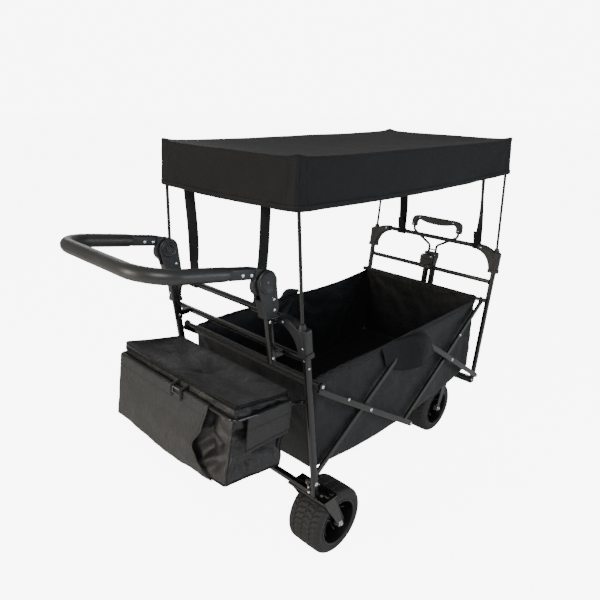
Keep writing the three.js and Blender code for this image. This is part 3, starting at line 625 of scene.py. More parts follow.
def finish_frames():
    foot = -lean_x(1, REAR_FOOT_Z)
    half, top = LEG_Y + 5, REAR_FOOT_Z + 16
    rear = end_frame(-1, "rear", REAR_FOOT_Z, REAR_MID_Z)
    rear.add(bar((foot, -half, top - 8), (foot, half, top - 8), 20, 16, 4.5, X_AXIS))
    for _, side in SIDES:
        y = side * LEG_Y
        # bolts and the small spring hook beside the leg
        rear.add(dome((foot - 10, side * (half - 22), top - 8), -X_AXIS, 4.2, 2.2), ZINC)
        for part in hex_bolt((foot, side * (half - 30), top), Z_AXIS, 5, 4.4):
            rear.add(part, ZINC)
        hook = [
            (foot + 4, side * (LEG_Y - 34), top),
            (foot + 4, side * (LEG_Y - 34), top + 15),
            (foot - 5, side * (LEG_Y - 34), top + 27),
            (foot - 10, side * (LEG_Y - 27), top + 21),
            (foot - 6, side * (LEG_Y - 20), top + 11),
        ]
        rear.add(pipe(hook, 5, 2.2, 10), DARK_ZINC)
        lug = [
            (foot - 9, top), (foot + 9, top), (foot + 8, top + 21), (foot - 2, top + 27),
            (foot - 9, top + 17)
        ]
        rear.add(slab(lug, *sorted((side * (LEG_Y - 15), side * (LEG_Y - 12)))))
        rear.add(dome((foot + 1, side * (LEG_Y - 15), top + 12), -side * Y_AXIS, 3.4, 2), ZINC)
    rear.build("root", "steel", "rear_frame")

    front = end_frame(1, "front", FRONT_FOOT_Z, FRONT_MID_Z)
    face, top = 487, FRONT_FOOT_Z + 24
    front.add(bar((face - 12, -half, top - 12), (face - 12, half, top - 12), 24, 24, 5, X_AXIS))
    for _, side in SIDES:
        low, high = sorted((side * (FRONT_WHEEL_Y - 62), side * (FRONT_WHEEL_Y + 62)))
        plate = [(428, low), (face, low), (face, high), (428, high)]
        front.add(slab(plate, PLATE_Z, PLATE_Z + 6, "XY", 0.9))
        web = (face - 8.5, 0, PLATE_Z + 4), (face - 8.5, 0, FRONT_FOOT_Z + 3)
        front.add(bar(*[(x, side * FRONT_WHEEL_Y, z) for x, _, z in web], 123, 17, 3))
        gusset = [
            (431, PLATE_Z + 5.5), (face - 14, PLATE_Z + 5.5), (face - 14, FRONT_FOOT_Z + 1),
            (face - 21, FRONT_FOOT_Z + 1)
        ]
        for y in (FRONT_WHEEL_Y - 57, FRONT_WHEEL_Y + 57):
            front.add(slab(gusset, side * y - 1.5, side * y + 1.5, soft=0.5))
        for part in hex_bolt((face - 12, side * (half - 24), top), Z_AXIS, 5, 4):
            front.add(part, ZINC)
        front.add(dome((face - 18, side * half, top - 8), side * Y_AXIS, 4.2, 2.2), ZINC)
        a, b = sorted((side * 31, side * 36))
        ear = [(479, 240), (514, 240), (514, 262)] + arc(GRAB_X, GRAB_Z, 12.3, 0, math.pi, 12) + [(479, 262)]
        front.add(slab(ear, a, b, soft=0.8))
        front.add(dome((GRAB_X, side * 41, GRAB_Z), side * Y_AXIS, 6, 3), ZINC)
    front.build("front_frame", "steel", "front_frame")


def corner_brackets():
    for end, where, body in ((-1, "rear", "root"), (1, "front", "front_frame")):
        tilt = Vector((math.sin(end * LEAN), 0, math.cos(LEAN)))
        top = Piece(f"{where}_top_tube", TUBE)
        top.add(
            bar(
                on_frame(end, -TOP_BAR_HALF - 10, TOP_BAR_Z),
                on_frame(end, TOP_BAR_HALF + 10, TOP_BAR_Z),
                BAR_TALL,
                BAR_THICK,
                4.5,
                tilt,
            )
        )
        top.build(body, "steel", f"{where}_top_bar")
        for label, side in SIDES:
            turn = Matrix.Translation(on_frame(end, 0, BRACKET_Z)) @ Matrix.Rotation(end * LEAN, 4, "Y")
            outer, inner, low = LEG_Y + 14, LEG_Y - 19, -BRACKET_TALL
            outline = [(outer - 2, low), (outer, low + 3), (outer, -6)]
            outline += curve((outer, -6), (outer, 0), (outer - 7, 1.5), 5)
            outline += [(inner - 2, 1.5)]
            outline += curve((inner - 2, 1.5), (inner - 17, 20.5), (TOP_BAR_HALF + 1, 20), 9)
            outline += [(TOP_BAR_HALF + 1, -2)]
            outline += curve((TOP_BAR_HALF + 1, -2), (inner - 10, -12), (inner, -72), 14)
            outline += [(inner, low + 3), (inner + 2, low)]
            flat = [(side * y, z) for y, z in outline]
            half = BRACKET_THICK / 2
            piece = Piece(f"{where}_corner_bracket_{label}", PLASTIC, ZINC, DARK_ZINC)
            piece.add(slab(flat, -half, half, "YZ", 3.2), turn=turn)
            # raised rim of the arch on both faces, and a cuff round the leg's sleeve
            rib = [(side * y, z) for y, z in
                   [(LEG_Y, low + 12), (LEG_Y, -30)] + curve(
                       (LEG_Y, -30), (LEG_Y - 8, 2), (LEG_Y - 40, 9), 10
                   )
                   + [(TOP_BAR_HALF + 14, 10.5)]]
            for face in (-1, 1):
                path = [Vector((face * (half + 0.1), y, z)) for y, z in rib]
                piece.add(
                    swept(path, rounded_section(7, 2.4, 1.1, 3), side=Vector((0, side * 0.7, 0.7))),
                    turn=turn
                )
            cuff = [
                (side * y, z) for y,
                z in (
                    (inner - 1.5, low), (outer + 1.5, low), (outer + 1.5, low + 13),
                    (inner - 1.5, low + 13)
                )
            ]
            piece.add(slab(cuff, -half - 1.5, half + 1.5, "YZ", 1.6), turn=turn)
            piece.add(
                dome(
                    turn @ Vector((-end * half, side * (TOP_BAR_HALF + 16), 8)), -end * X_AXIS, 4.6, 2.4
                ),
                ZINC
            )
            piece.add(
                dome(turn @ Vector((end * half, side * (TOP_BAR_HALF + 16), 8)), end * X_AXIS, 4.6, 2.4),
                ZINC
            )
            piece.add(dome(turn @ Vector((end * half, side * LEG_Y, low + 30)), end * X_AXIS, 3.6, 2), ZINC)
            foot, head = pole_line(end, side, BRACKET_Z - 4), pole_line(end, side, BRACKET_Z + 14)
            piece.add(
                turned(
                    [(0, 0), (11, 0), (11, 8), (9.2, 13), (8.2, 18), (POLE_R + 0.3, 18.2)], foot,
                    head - foot, 24
                )
            )
            piece.build(body, "plastic", f"{where}_bracket_{label}")

            low_end, high_end = pole_line(end, side, BRACKET_Z - 35), pole_line(end, side, CANOPY_Z - 4)
            pole = Piece(f"{where}_pole_{label}", TUBE, PLASTIC)
            pole.add(swept([low_end, high_end], circle(POLE_R, 18)))
            tip = high_end - (high_end - low_end).normalized() * 9
            pole.add(
                turned(
                    [(0, 0), (POLE_R + 1, 0), (POLE_R + 1.4, 7), (3, 10.5), (0, 11)], tip,
                    high_end - low_end, 18
                ),
                PLASTIC
            )
            pole.build(body, "tube", f"{where}_canopy_pole_{label}")


def pole_line(end, side, z):
    t = (z - BRACKET_Z) / (CANOPY_Z - BRACKET_Z)
    return Vector((end * (546 + 11 * t), side * (282 - 22 * t), z))


# ---------------------------------------------------------------- scissor links
def link_bar(a, b, y, lug=None):
    """A flat pressed bar from a to b, (x, z) each, with round ends; a given lug adds a round boss joined to
    the bar by a short web.
    """
    turn = math.atan2(b[1] - a[1], b[0] - a[0])
    r = LINK_DEEP / 2
    outline = arc(b[0], b[1], r, turn - math.pi / 2, turn + math.pi / 2, 12)
    outline += arc(a[0], a[1], r, turn + math.pi / 2, turn + 1.5 * math.pi, 12)
    shapes = [slab(outline, y - LINK_THICK / 2, y + LINK_THICK / 2, soft=1.7)]
    if lug:
        shapes.append(
            slab(arc(*lug, 11, 0, 2 * math.pi, 24)[:-1], y - LINK_THICK / 2, y + LINK_THICK / 2, soft=1.2)
        )
        mid = [
            (lug[0] - 7, lug[1] - 14), (lug[0] + 7, lug[1] - 14), (lug[0] + 9, lug[1]),
            (lug[0] - 9, lug[1])
        ]
        shapes.append(slab(mid, y - LINK_THICK / 2 + 0.2, y + LINK_THICK / 2 - 0.2, soft=1.0))
    return shapes


def links():
    rise = math.tan(math.atan2(HUB_Z - PIVOT_Z, HALF_SPAN))
    free_x = ROD_X + 7
    free_z = LOW_HUB_Z + free_x * rise
    outer_face = OUTER_LINK_Y + LINK_THICK / 2 + 0.4
    for label, side in SIDES:
        out, into = side * Y_AXIS, -side * Y_AXIS
        outer_y, inner_y = side * OUTER_LINK_Y, side * INNER_LINK_Y

        piece = Piece(f"rear_outer_bar_{label}", STEEL, ZINC)
        for shape in link_bar((-free_x, free_z), (0, LOW_HUB_Z), outer_y, (-ROD_X, ROD_Z)):
            piece.add(shape)
        piece.add(dome((-364, side * (OUTER_LINK_Y + 4.3), 507), out, 4.8), ZINC)
        piece.add(dome((-ROD_X, side * (OUTER_LINK_Y + 4.3), ROD_Z), out, 5.2), ZINC)
        piece.build("rear_outer_links", "steel", f"rear_outer_link_{label}")

        piece = Piece(f"front_outer_bar_{label}", STEEL, ZINC)
        for shape in link_bar((0, HUB_Z), (HALF_SPAN, PIVOT_Z), outer_y):
            piece.add(shape)
        for x, z in ((HALF_SPAN, PIVOT_Z),):
            piece.add(dome((x, side * (OUTER_LINK_Y + 4.3), z), out, 5.6, 3), ZINC)
            piece.add(turned([(0, 0), (4, 0), (4, 22), (0, 22)], (x, side * 278, z), out, 16), ZINC)
            piece.add(dome((x, side * 279, z), into, 6.4, 2.4), ZINC)
        piece.build("front_outer_links", "steel", f"front_outer_link_{label}")

        piece = Piece(f"rear_inner_bar_{label}", STEEL, ZINC, DARK_ZINC)
        for shape in link_bar((-HALF_SPAN, PIVOT_Z), (0, HUB_Z), inner_y):
            piece.add(shape)
        piece.add(
            turned([(0, 0), (4, 0), (4, 18), (0, 18)], (-HALF_SPAN, side * 277, PIVOT_Z), out, 16), ZINC
        )
        piece.add(dome((-HALF_SPAN, side * (LEG_Y + LEG_WIDE / 2 + 0.6), PIVOT_Z), out, 6.6, 3.6), ZINC)
        for x, z in ((-CROSS_X, CROSS_Z), (0, HUB_Z)):
            piece.add(turned([(0, 0), (4, 0), (4, 26), (0, 26)], (x, side * 278, z), out, 16), DARK_ZINC)
            piece.add(
                turned([(0, 0), (7.5, 0), (7.5, 15), (0, 15)], (x, side * 278.8, z), out, 20), PLASTIC
            )
            piece.add(dome((x, side * outer_face, z), out, 6, 3), ZINC)
        piece.build("rear_inner_links", "steel", f"rear_inner_link_{label}")

        piece = Piece(f"front_inner_bar_{label}", STEEL, ZINC, DARK_ZINC)
        for shape in link_bar((free_x, free_z), (0, LOW_HUB_Z), inner_y, (ROD_X, ROD_Z)):
            piece.add(shape)
        for x, z in ((CROSS_X, CROSS_Z), (0, LOW_HUB_Z)):
            piece.add(turned([(0, 0), (4, 0), (4, 26), (0, 26)], (x, side * 278, z), out, 16), DARK_ZINC)
            piece.add(
                turned([(0, 0), (7.5, 0), (7.5, 15), (0, 15)], (x, side * 278.8, z), out, 20), PLASTIC
            )
            piece.add(dome((x, side * outer_face, z), out, 6, 3), ZINC)
        piece.add(dome((341, side * (INNER_LINK_Y + 4.2), 485), out, 4.8), ZINC)
        piece.build("front_inner_links", "steel", f"front_inner_link_{label}")

    for where, x, half, body in (
        ("rear", -ROD_X, 295, "rear_outer_links"),
        ("front", ROD_X, 290, "front_inner_links"),
    ):
        rod = Piece(f"{where}_rod", TUBE, PLASTIC)
        rod.add(swept([(x, -half, ROD_Z), (x, half, ROD_Z)], circle(ROD_R, 20)))
        for _, side in SIDES:
            rod.add(
                turned(
                    [(0, 0), (8, 0), (8.3, 5), (7, 7.5), (0, 7.5)], (x, side * (half - 5), ROD_Z),
                    side * Y_AXIS, 20
                ),
                PLASTIC
            )
        rod.build(body, "steel", f"{where}_basket_rod")


# ---------------------------------------------------------------- wheels
TREAD_STEPS, TREAD_ACROSS, ROW_WIDE = 288, 80, 31


def tyre_skin(x, y):
    """A wide tyre: four rows of lugs between zigzag grooves, with ribbed shoulders."""
    half = TYRE_WIDE / 2
    profile = []  # (radius, across) of the base surface, with its share of tread depth
    for i in range(TREAD_ACROSS + 1):
        s = -1 + 2 * i / TREAD_ACROSS
        w = s * half
        edge = max(0.0, (abs(s) - 0.72) / 0.28)
        crown = WHEEL_R - 1.2 * s * s
        profile.append((crown - 15 * edge**2.6, w, 1.0 if abs(s) < 0.97 else 0.25))
    rings = []
    for k in range(TREAD_STEPS):
        turn = 2 * math.pi * k / TREAD_STEPS
        ring = []
        for r, w, share in profile:
            ring.append((r - share * tread_depth(turn, w), w, turn))
        rings.append(ring)
    side_wall = [
        (89.5, half), (86, half - 0.4), (82, half - 1.4), (77, half - 1.0), (74.2, half - 2.6),
        (RIM_R + 0.4, half - 6)
    ]
    points, faces = [], []
    loops = []
    for k in range(TREAD_STEPS):
        turn = 2 * math.pi * k / TREAD_STEPS
        line = [
            (r, -w, turn) for r, w in reversed(side_wall)
        ] + rings[k] + [(r, w, turn) for r, w in side_wall]
        loops.append(line)
    width = len(loops[0])
    for line in loops:
        for r, w, turn in line:
            points.append((x + r * math.cos(turn), y + w, WHEEL_Z + r * math.sin(turn)))
    for k in range(TREAD_STEPS):
        j = (k + 1) % TREAD_STEPS
        for i in range(width):
            n = (i + 1) % width
            faces.append([k * width + i, k * width + n, j * width + n, j * width + i])
    return points, faces


def tread_depth(turn, w):
    """How far below the crown the surface is at this turn and width."""
    pitch = 2 * math.pi / 36
    depth = 0.0
    for centre in (-ROW_WIDE, 0, ROW_WIDE):
        zig = 2.8 * (2 * abs(((turn / pitch) % 1) * 2 - 1) - 1)
        depth = max(depth, 3.2 * smooth(2.5, 1.3, abs(w - centre - zig)))
    row = int((w + 2 * ROW_WIDE) // ROW_WIDE)
    across = (w + 2 * ROW_WIDE) / ROW_WIDE - row
    shift = (0.5 if row % 2 else 0.0) + 0.48 * across * (1 if row % 2 else -1)
    phase = (turn / pitch + shift) % 1
    depth = max(depth, 2.8 * smooth(0.13, 0.07, min(phase, 1 - phase)))
    if 0.3 < across < 0.7:
        inner = (2 * turn / pitch + 0.25 + shift) % 1
        depth = max(depth, 1.2 * smooth(0.1, 0.05, min(inner, 1 - inner)))
    return depth


def smooth(high, low, value):
    t = max(0.0, min(1.0, (high - value) / (high - low)))
    return t * t * (3 - 2 * t)


def wheel(name, x, y, body, nodes):
    half = TYRE_WIDE / 2
    tyre = Piece(f"{name}_tread", RUBBER)
    tyre.add(tyre_skin(x, y))
    tyre.build(body, "tyre_rubber", nodes[1], sharp=50)
    rim = Piece(f"{name}_dish", RIM_BLACK, PLASTIC)
    at = (x, y, WHEEL_Z)
    r = RIM_R + 0.6
    barrel = [
        (r, -half + 4), (r + 1.6, -half + 2.5), (r + 1.6, -half + 1), (r, -half + 0.4),
        (r - 3.5, -half + 1.6)
    ]
    barrel += [(r - 5, -half + 8), (r - 7, -half + 24), (r - 8.5, -6)]
    shell = barrel + [(w_r, -w_h) for w_r, w_h in reversed(barrel)]
    rings = []
    segments = 72
    for w_r, w_h in shell:
        rings.append(
            [
                (
                    x + w_r * math.cos(2 * math.pi * i / segments), y + w_h,
                    WHEEL_Z + w_r * math.sin(2 * math.pi * i / segments)
                )
                for i in range(segments)
            ]
        )
    rings.append(rings[0])
    rim.add(loft(rings, capped=False))
    # the web: a disc with raised spokes on both faces, a hub and its rings
    web = [(14, -7), (28, -6), (48, -5), (63.8, -5.5), (63.8, 5.5), (48, 5), (28, 6), (14, 7)]
    rim.add(turned([(0, -7)] + web + [(0, 7)], at, Y_AXIS, 72))
    for face in (-1, 1):
        hub = [
            (0, 0), (17, 0), (17.5, 6), (16, 20), (14.5, half - 12), (12.5, half - 9.5), (8, half - 9),
            (0, half - 9)
        ]
        rim.add(turned(hub, (x, y + face * 4, WHEEL_Z), face * Y_AXIS, 40))
        for i in range(10):
            a = 2 * math.pi * i / 10
            turn = Matrix.Translation(at) @ Matrix.Rotation(a, 4, "Y")
            deep = [(14, 4), (64.5, 4), (64.5, 28), (57, 21), (36, 17), (22, 32), (14, 38)]
            outline = [(px, face * py) for px, py in deep]
            rim.add(slab(outline, -2.1, 2.1, "XY", 0.9), turn=turn)
        ring = [(40, 4), (42, 4), (42.4, 11), (41, 12), (39.6, 11)]
        rim.add(
            turned(
                [(39.4, 0)] + ring + [(39.4, 10), (39.4, 0)], (x, y + face * 2, WHEEL_Z), face * Y_AXIS,
                60
            )
        )
    rim.build(body, "plastic", nodes[0], sharp=32)


def fork_arm_outline(x0, x1, top_z, axle_x):
    outline = [(x0, top_z), (x0 + 1, top_z - 12)]
    r = 13.5
    outline += arc(axle_x, WHEEL_Z, r, math.pi - 0.15, 2.2 * math.pi, 18)
    outline += [(x1 - 1, top_z - 12), (x1, top_z)]
    return outline


def axle_parts(piece, x, y, half):
    piece.add(
        turned(
            [(0, 0), (AXLE_R, 0), (AXLE_R, 2 * half + 6), (0, 2 * half + 6)], (x, y - half - 3, WHEEL_Z),
            Y_AXIS, 20
        ),
        ZINC
    )
    for face in (-1, 1):
        for part in hex_bolt((x, y + face * half, WHEEL_Z), face * Y_AXIS, 6.2, 6.2):
            piece.add(part, ZINC)


def wheels():
    half = TYRE_WIDE / 2 + 5
    base = REAR_FOOT_Z - 8.3
    for label, side in SIDES:
        y = side * REAR_WHEEL_Y
        fork = Piece(f"rear_fork_plate_{label}", STEEL, ZINC)
        low, high = y - half - 6, y + half + 6
        fork.add(slab([(-485, low), (-420, low), (-420, high), (-485, high)], base, base + 4.5, "XY", 0.9))
        for x, wide in ((-434, 9), (-451, 9)):  # two pressed ribs along the plate
            fork.add(bar((x, low + 8, base + 4), (x, high - 8, base + 4), wide, 8, 3.5, X_AXIS))
        fork.add(bar((-482.6, low, base + 3.8), (-482.6, high, base + 3.8), 4.6, 8, 1.6, X_AXIS))
        fork.add(bar((-421.5, low, base + 2.4), (-421.5, high, base + 2.4), 3, 6, 1.2, X_AXIS))
        for bx, by in ((-459, y - 40), (-459, y + 40), (-427, y)):
            for part in hex_bolt((bx, by, base + 4.5), Z_AXIS, 4.4, 3.6):
                fork.add(part, ZINC)
        for face in (-1, 1):
            outer = y + face * half
            a, b = sorted((outer, outer - face * 3))
            fork.add(slab(fork_arm_outline(-471, -423, base + 2, REAR_AXLE_X), a, b, soft=0.8))
            lip = [(-471, base), (-469, base - 14), (REAR_AXLE_X - 14, WHEEL_Z + 8)]
            lip2 = [(-424, base), (-423, base - 14), (REAR_AXLE_X + 13, WHEEL_Z + 10)]
            for line in (lip, lip2):
                path = [(px, outer - face * 0.5, pz) for px, pz in line]
                fork.add(swept(rounded_path(path, 8, 4), circle(1.7, 8)))
        fork.build("root", "steel", f"rear_fork_{label}")
        axle = Piece(f"rear_axle_bolt_{label}", ZINC)
        axle_parts(axle, REAR_AXLE_X, y, half)
        axle.build("root", "zinc", f"rear_axle_{label}")
        wheel(
            f"rear_wheel_{label}", REAR_AXLE_X, y, f"rear_wheel_{label}",
            (f"rear_rim_{label}", f"rear_tyre_{label}")
        )

        y = side * FRONT_WHEEL_Y
        top = PLATE_Z - 2
        fork = Piece(f"caster_yoke_{label}", STEEL, ZINC, DARK_ZINC)
        fork.add(
            slab(
                [(430, y - half), (486, y - half), (486, y + half), (430, y + half)], top - 3.8, top,
                "XY", 1.2
            )
        )
        fork.add(
            turned([(0, 0), (24, 0), (24, 0.8), (22, 1.6), (0, 1.6)], (SWIVEL_X, y, top), Z_AXIS, 32),
            DARK_ZINC
        )
        fork.add(turned([(0, 0), (6, 0), (6, 15), (0, 15)], (SWIVEL_X, y, top), Z_AXIS, 20), ZINC)
        for part in hex_bolt((SWIVEL_X, y, PLATE_Z + 6.3), Z_AXIS, 7.4, 8):
            fork.add(part, ZINC)
        for face in (-1, 1):
            outer = y + face * half
            a, b = sorted((outer, outer - face * 3))
            fork.add(slab(fork_arm_outline(433, 476, top - 1, FRONT_AXLE_X), a, b, soft=0.8))
        fork.build(f"caster_{label}", "steel", f"caster_fork_{label}")
        axle = Piece(f"caster_axle_bolt_{label}", ZINC)
        axle_parts(axle, FRONT_AXLE_X, y, half)
        axle.build(f"caster_{label}", "zinc", f"caster_axle_{label}")
        wheel(
            f"front_wheel_{label}", FRONT_AXLE_X, y, f"front_wheel_{label}",
            (f"front_rim_{label}", f"front_tyre_{label}")
        )


# ---------------------------------------------------------------- push handle
def push_handle():
    clear, half = 7.9, 16
    down = turned_about(HINGE_X, HINGE_Z, -LEAN)
    up = turned_about(HINGE_X, HINGE_Z, HANDLE_RISE)
    for label, side in SIDES:
        y = side * HINGE_Y
        arm = Piece(f"handle_post_{label}", TUBE, ZINC)
        arm.add(bar(on_frame(-1, y, 664, ARM_OFFSET), on_frame(-1, y, 828, ARM_OFFSET), 12, 25, 5.5))
        for z, start in ((REAR_MID_Z, 9.2), (TOP_BAR_Z, 14.8)):
            tab = (on_frame(-1, y, z, start), on_frame(-1, y, z, ARM_OFFSET - 8))
            arm.add(bar(*tab, 10, 18, 2))
        for z in (678, 783):
            for face in (-1, 1):
                arm.add(dome(on_frame(-1, y + face * 6, z, ARM_OFFSET - 1), face * Y_AXIS, 4.6, 2.4), ZINC)
        arm.build("root", "tube", f"handle_arm_{label}")

        base = Piece(f"handle_knuckle_{label}", PLASTIC, ZINC)
        r = HINGE_R
        lower = [(-r + 3, -20)] + curve(
            (-r + 3, -20), (-20, -50), (-16, -96), 10
        ) + [(-13, -99), (15, -99), (19, -95)]
        lower += curve((19, -95), (31, -88), (r, -62), 8)
        cheek = arc(0, 0, r, 0, math.pi, 32) + lower
        for face in (-1, 1):
            a, b = sorted((y + face * clear, y + face * half))
            base.add(slab(cheek, a, b, soft=2.2), turn=down)
        body = [
            (-24.5, -42), (-20, -60), (-16, -96), (-13, -99), (15, -99), (19, -95), (28, -80),
            (r - 1, -62), (r - 1, -42)
        ]
        base.add(slab(body, y - half + 1.2, y + half - 1.2, soft=2.4), turn=down)
        for px, pz in ((15, -50), (14, -79)):
            for face in (-1, 1):
                base.add(dome((px, y + face * half, pz), face * Y_AXIS, 4.4, 2.4), ZINC, down)
        # the outboard face has a dished cap with a raised rim; the inboard face a ring round the button
        face = side
        cap = [
            (0, 1.2), (4, 1.2), (16, 1.4), (20.5, 2.2), (23, 4.2), (25.4, 4.6), (27, 3.8), (27.8, 1.8),
            (28, -0.5)
        ]
        base.add(turned(cap[::-1], (0, y + face * half, 0), face * Y_AXIS, 64), turn=down)
        base.add(dome((0, y + face * (half + 1.2), 0), face * Y_AXIS, 3.2, 1.6), DARK_ZINC, down)
        ring = [
            (26, -0.5), (25.8, 1.6), (24.6, 2.6), (22.6, 2.7), (21, 1.4), (16.5, 1.0), (15.6, 2.6),
            (13.6, 3.0), (11.8, 2.4), (11.6, -0.5)
        ]
        rings = [
            [
                (rr * math.cos(t), y - side * (half + h), rr * math.sin(t))
                for t in (2 * math.pi * i / 56 for i in range(56))
            ]
            for rr, h in ring + ring[:1]
        ]
        base.add(loft(rings, capped=False), turn=down)
        base.build("root", "plastic", f"handle_hinge_base_{label}", sharp=30)

        button = Piece(f"hinge_push_button_{label}", PLASTIC)
        dish = [(0, 0), (10.6, 0), (10.8, 5.0), (9.8, 5.8), (7, 5.5), (3, 5.3), (0, 5.3)]
        button.add(turned(dish, (0, y - side * (half - 2.2), 0), -side * Y_AXIS, 40), turn=down)
        button.build(f"hinge_button_{label}", "plastic", f"hinge_button_{label}")

        moving = Piece(f"handle_ratchet_{label}", PLASTIC, ZINC)
        disc = [(math.cos(t) * q, math.sin(t) * q) for t, q in (
            (
                2 * math.pi * i / 72, r - (0.9 if (i // 2) % 2 and not 10 < i < 34 else 0)
            ) for i in range(72))]
        moving.add(slab(disc, y - 7.4, y + 7.4, soft=0.9), turn=up)
        bulge = arc(-12, -7, 28, math.radians(100), math.radians(300), 26) + [(8, -24), (0, 10)]
        moving.add(slab(bulge, y - 7.3, y + 7.3, soft=1.2), turn=up)
        neck = [(-2, 31), (-44, 37), (-44, 8), (-30, 6.5), (-24, -6), (6, 0), (12, 26)]
        moving.add(slab(neck, y - 7.4, y + 7.4, soft=1.8), turn=up)
        rings = []
        for x, wide, tall, mid in (
            (-37, 15, 25, 21.6), (-41, 21, 28, 22.2), (-48, 24.6, 29.6, 22.5), (-95, 25.6, 30, 22.5),
            (-114.4, 25.6, 30, 22.5), (-116.8, 24, 28.4, 22.5)
        ):
            rings.append([(x, y + a, mid + b) for a, b in rounded_section(wide, tall, 7, 6)])
        moving.add(loft(rings), turn=up)
        for px, pz in ((-80, 20), (-53, 19.6)):
            for face in (-1, 1):
                moving.add(dome((px, y + face * 12.6, pz), face * Y_AXIS, 4.8, 2.5), ZINC, up)
        moving.build("push_handle", "plastic", f"handle_hinge_arm_{label}", sharp=34)

    corners = [(-SLEEVE_END - 0.3, -HINGE_Y, HANDLE_OFFSET), (-HANDLE_REACH, -HINGE_Y, HANDLE_OFFSET),
               (-HANDLE_REACH, HINGE_Y, HANDLE_OFFSET), (-SLEEVE_END - 0.3, HINGE_Y, HANDLE_OFFSET)]
    path = rounded_path(corners, HANDLE_BEND, 28)
    straight = []
    for a, b in zip(path, path[1:]):
        count = max(1, int((b - a).length / 6))
        straight += [a.lerp(b, i / count) for i in range(count)]
    straight.append(path[-1])
    rings = []
    total = len(straight)
    for i, p in enumerate(straight):
        ahead = (straight[min(i + 1, total - 1)] - straight[max(i - 1, 0)]).normalized()
        u = Z_AXIS
        v = ahead.cross(u)
        lumps = 0.28 * noise.noise(p * 0.021) + 0.12 * noise.noise(p * 0.11)
        edge = min(i, total - 1 - i)
        r = FOAM_R - 0.3 + lumps - (1.8 if edge == 0 else 0.5 if edge == 1 else 0)
        rings.append(
            [
                p + (u * math.cos(t) + v * math.sin(t)) * r
                for t in (2 * math.pi * k / 36 for k in range(36))
            ]
        )
    grip = Piece("handle_foam", FOAM)
    grip.add(loft(rings), turn=up)
    obj = grip.build("push_handle", "foam", ("push_handle_grip", "push_handle_tube"))


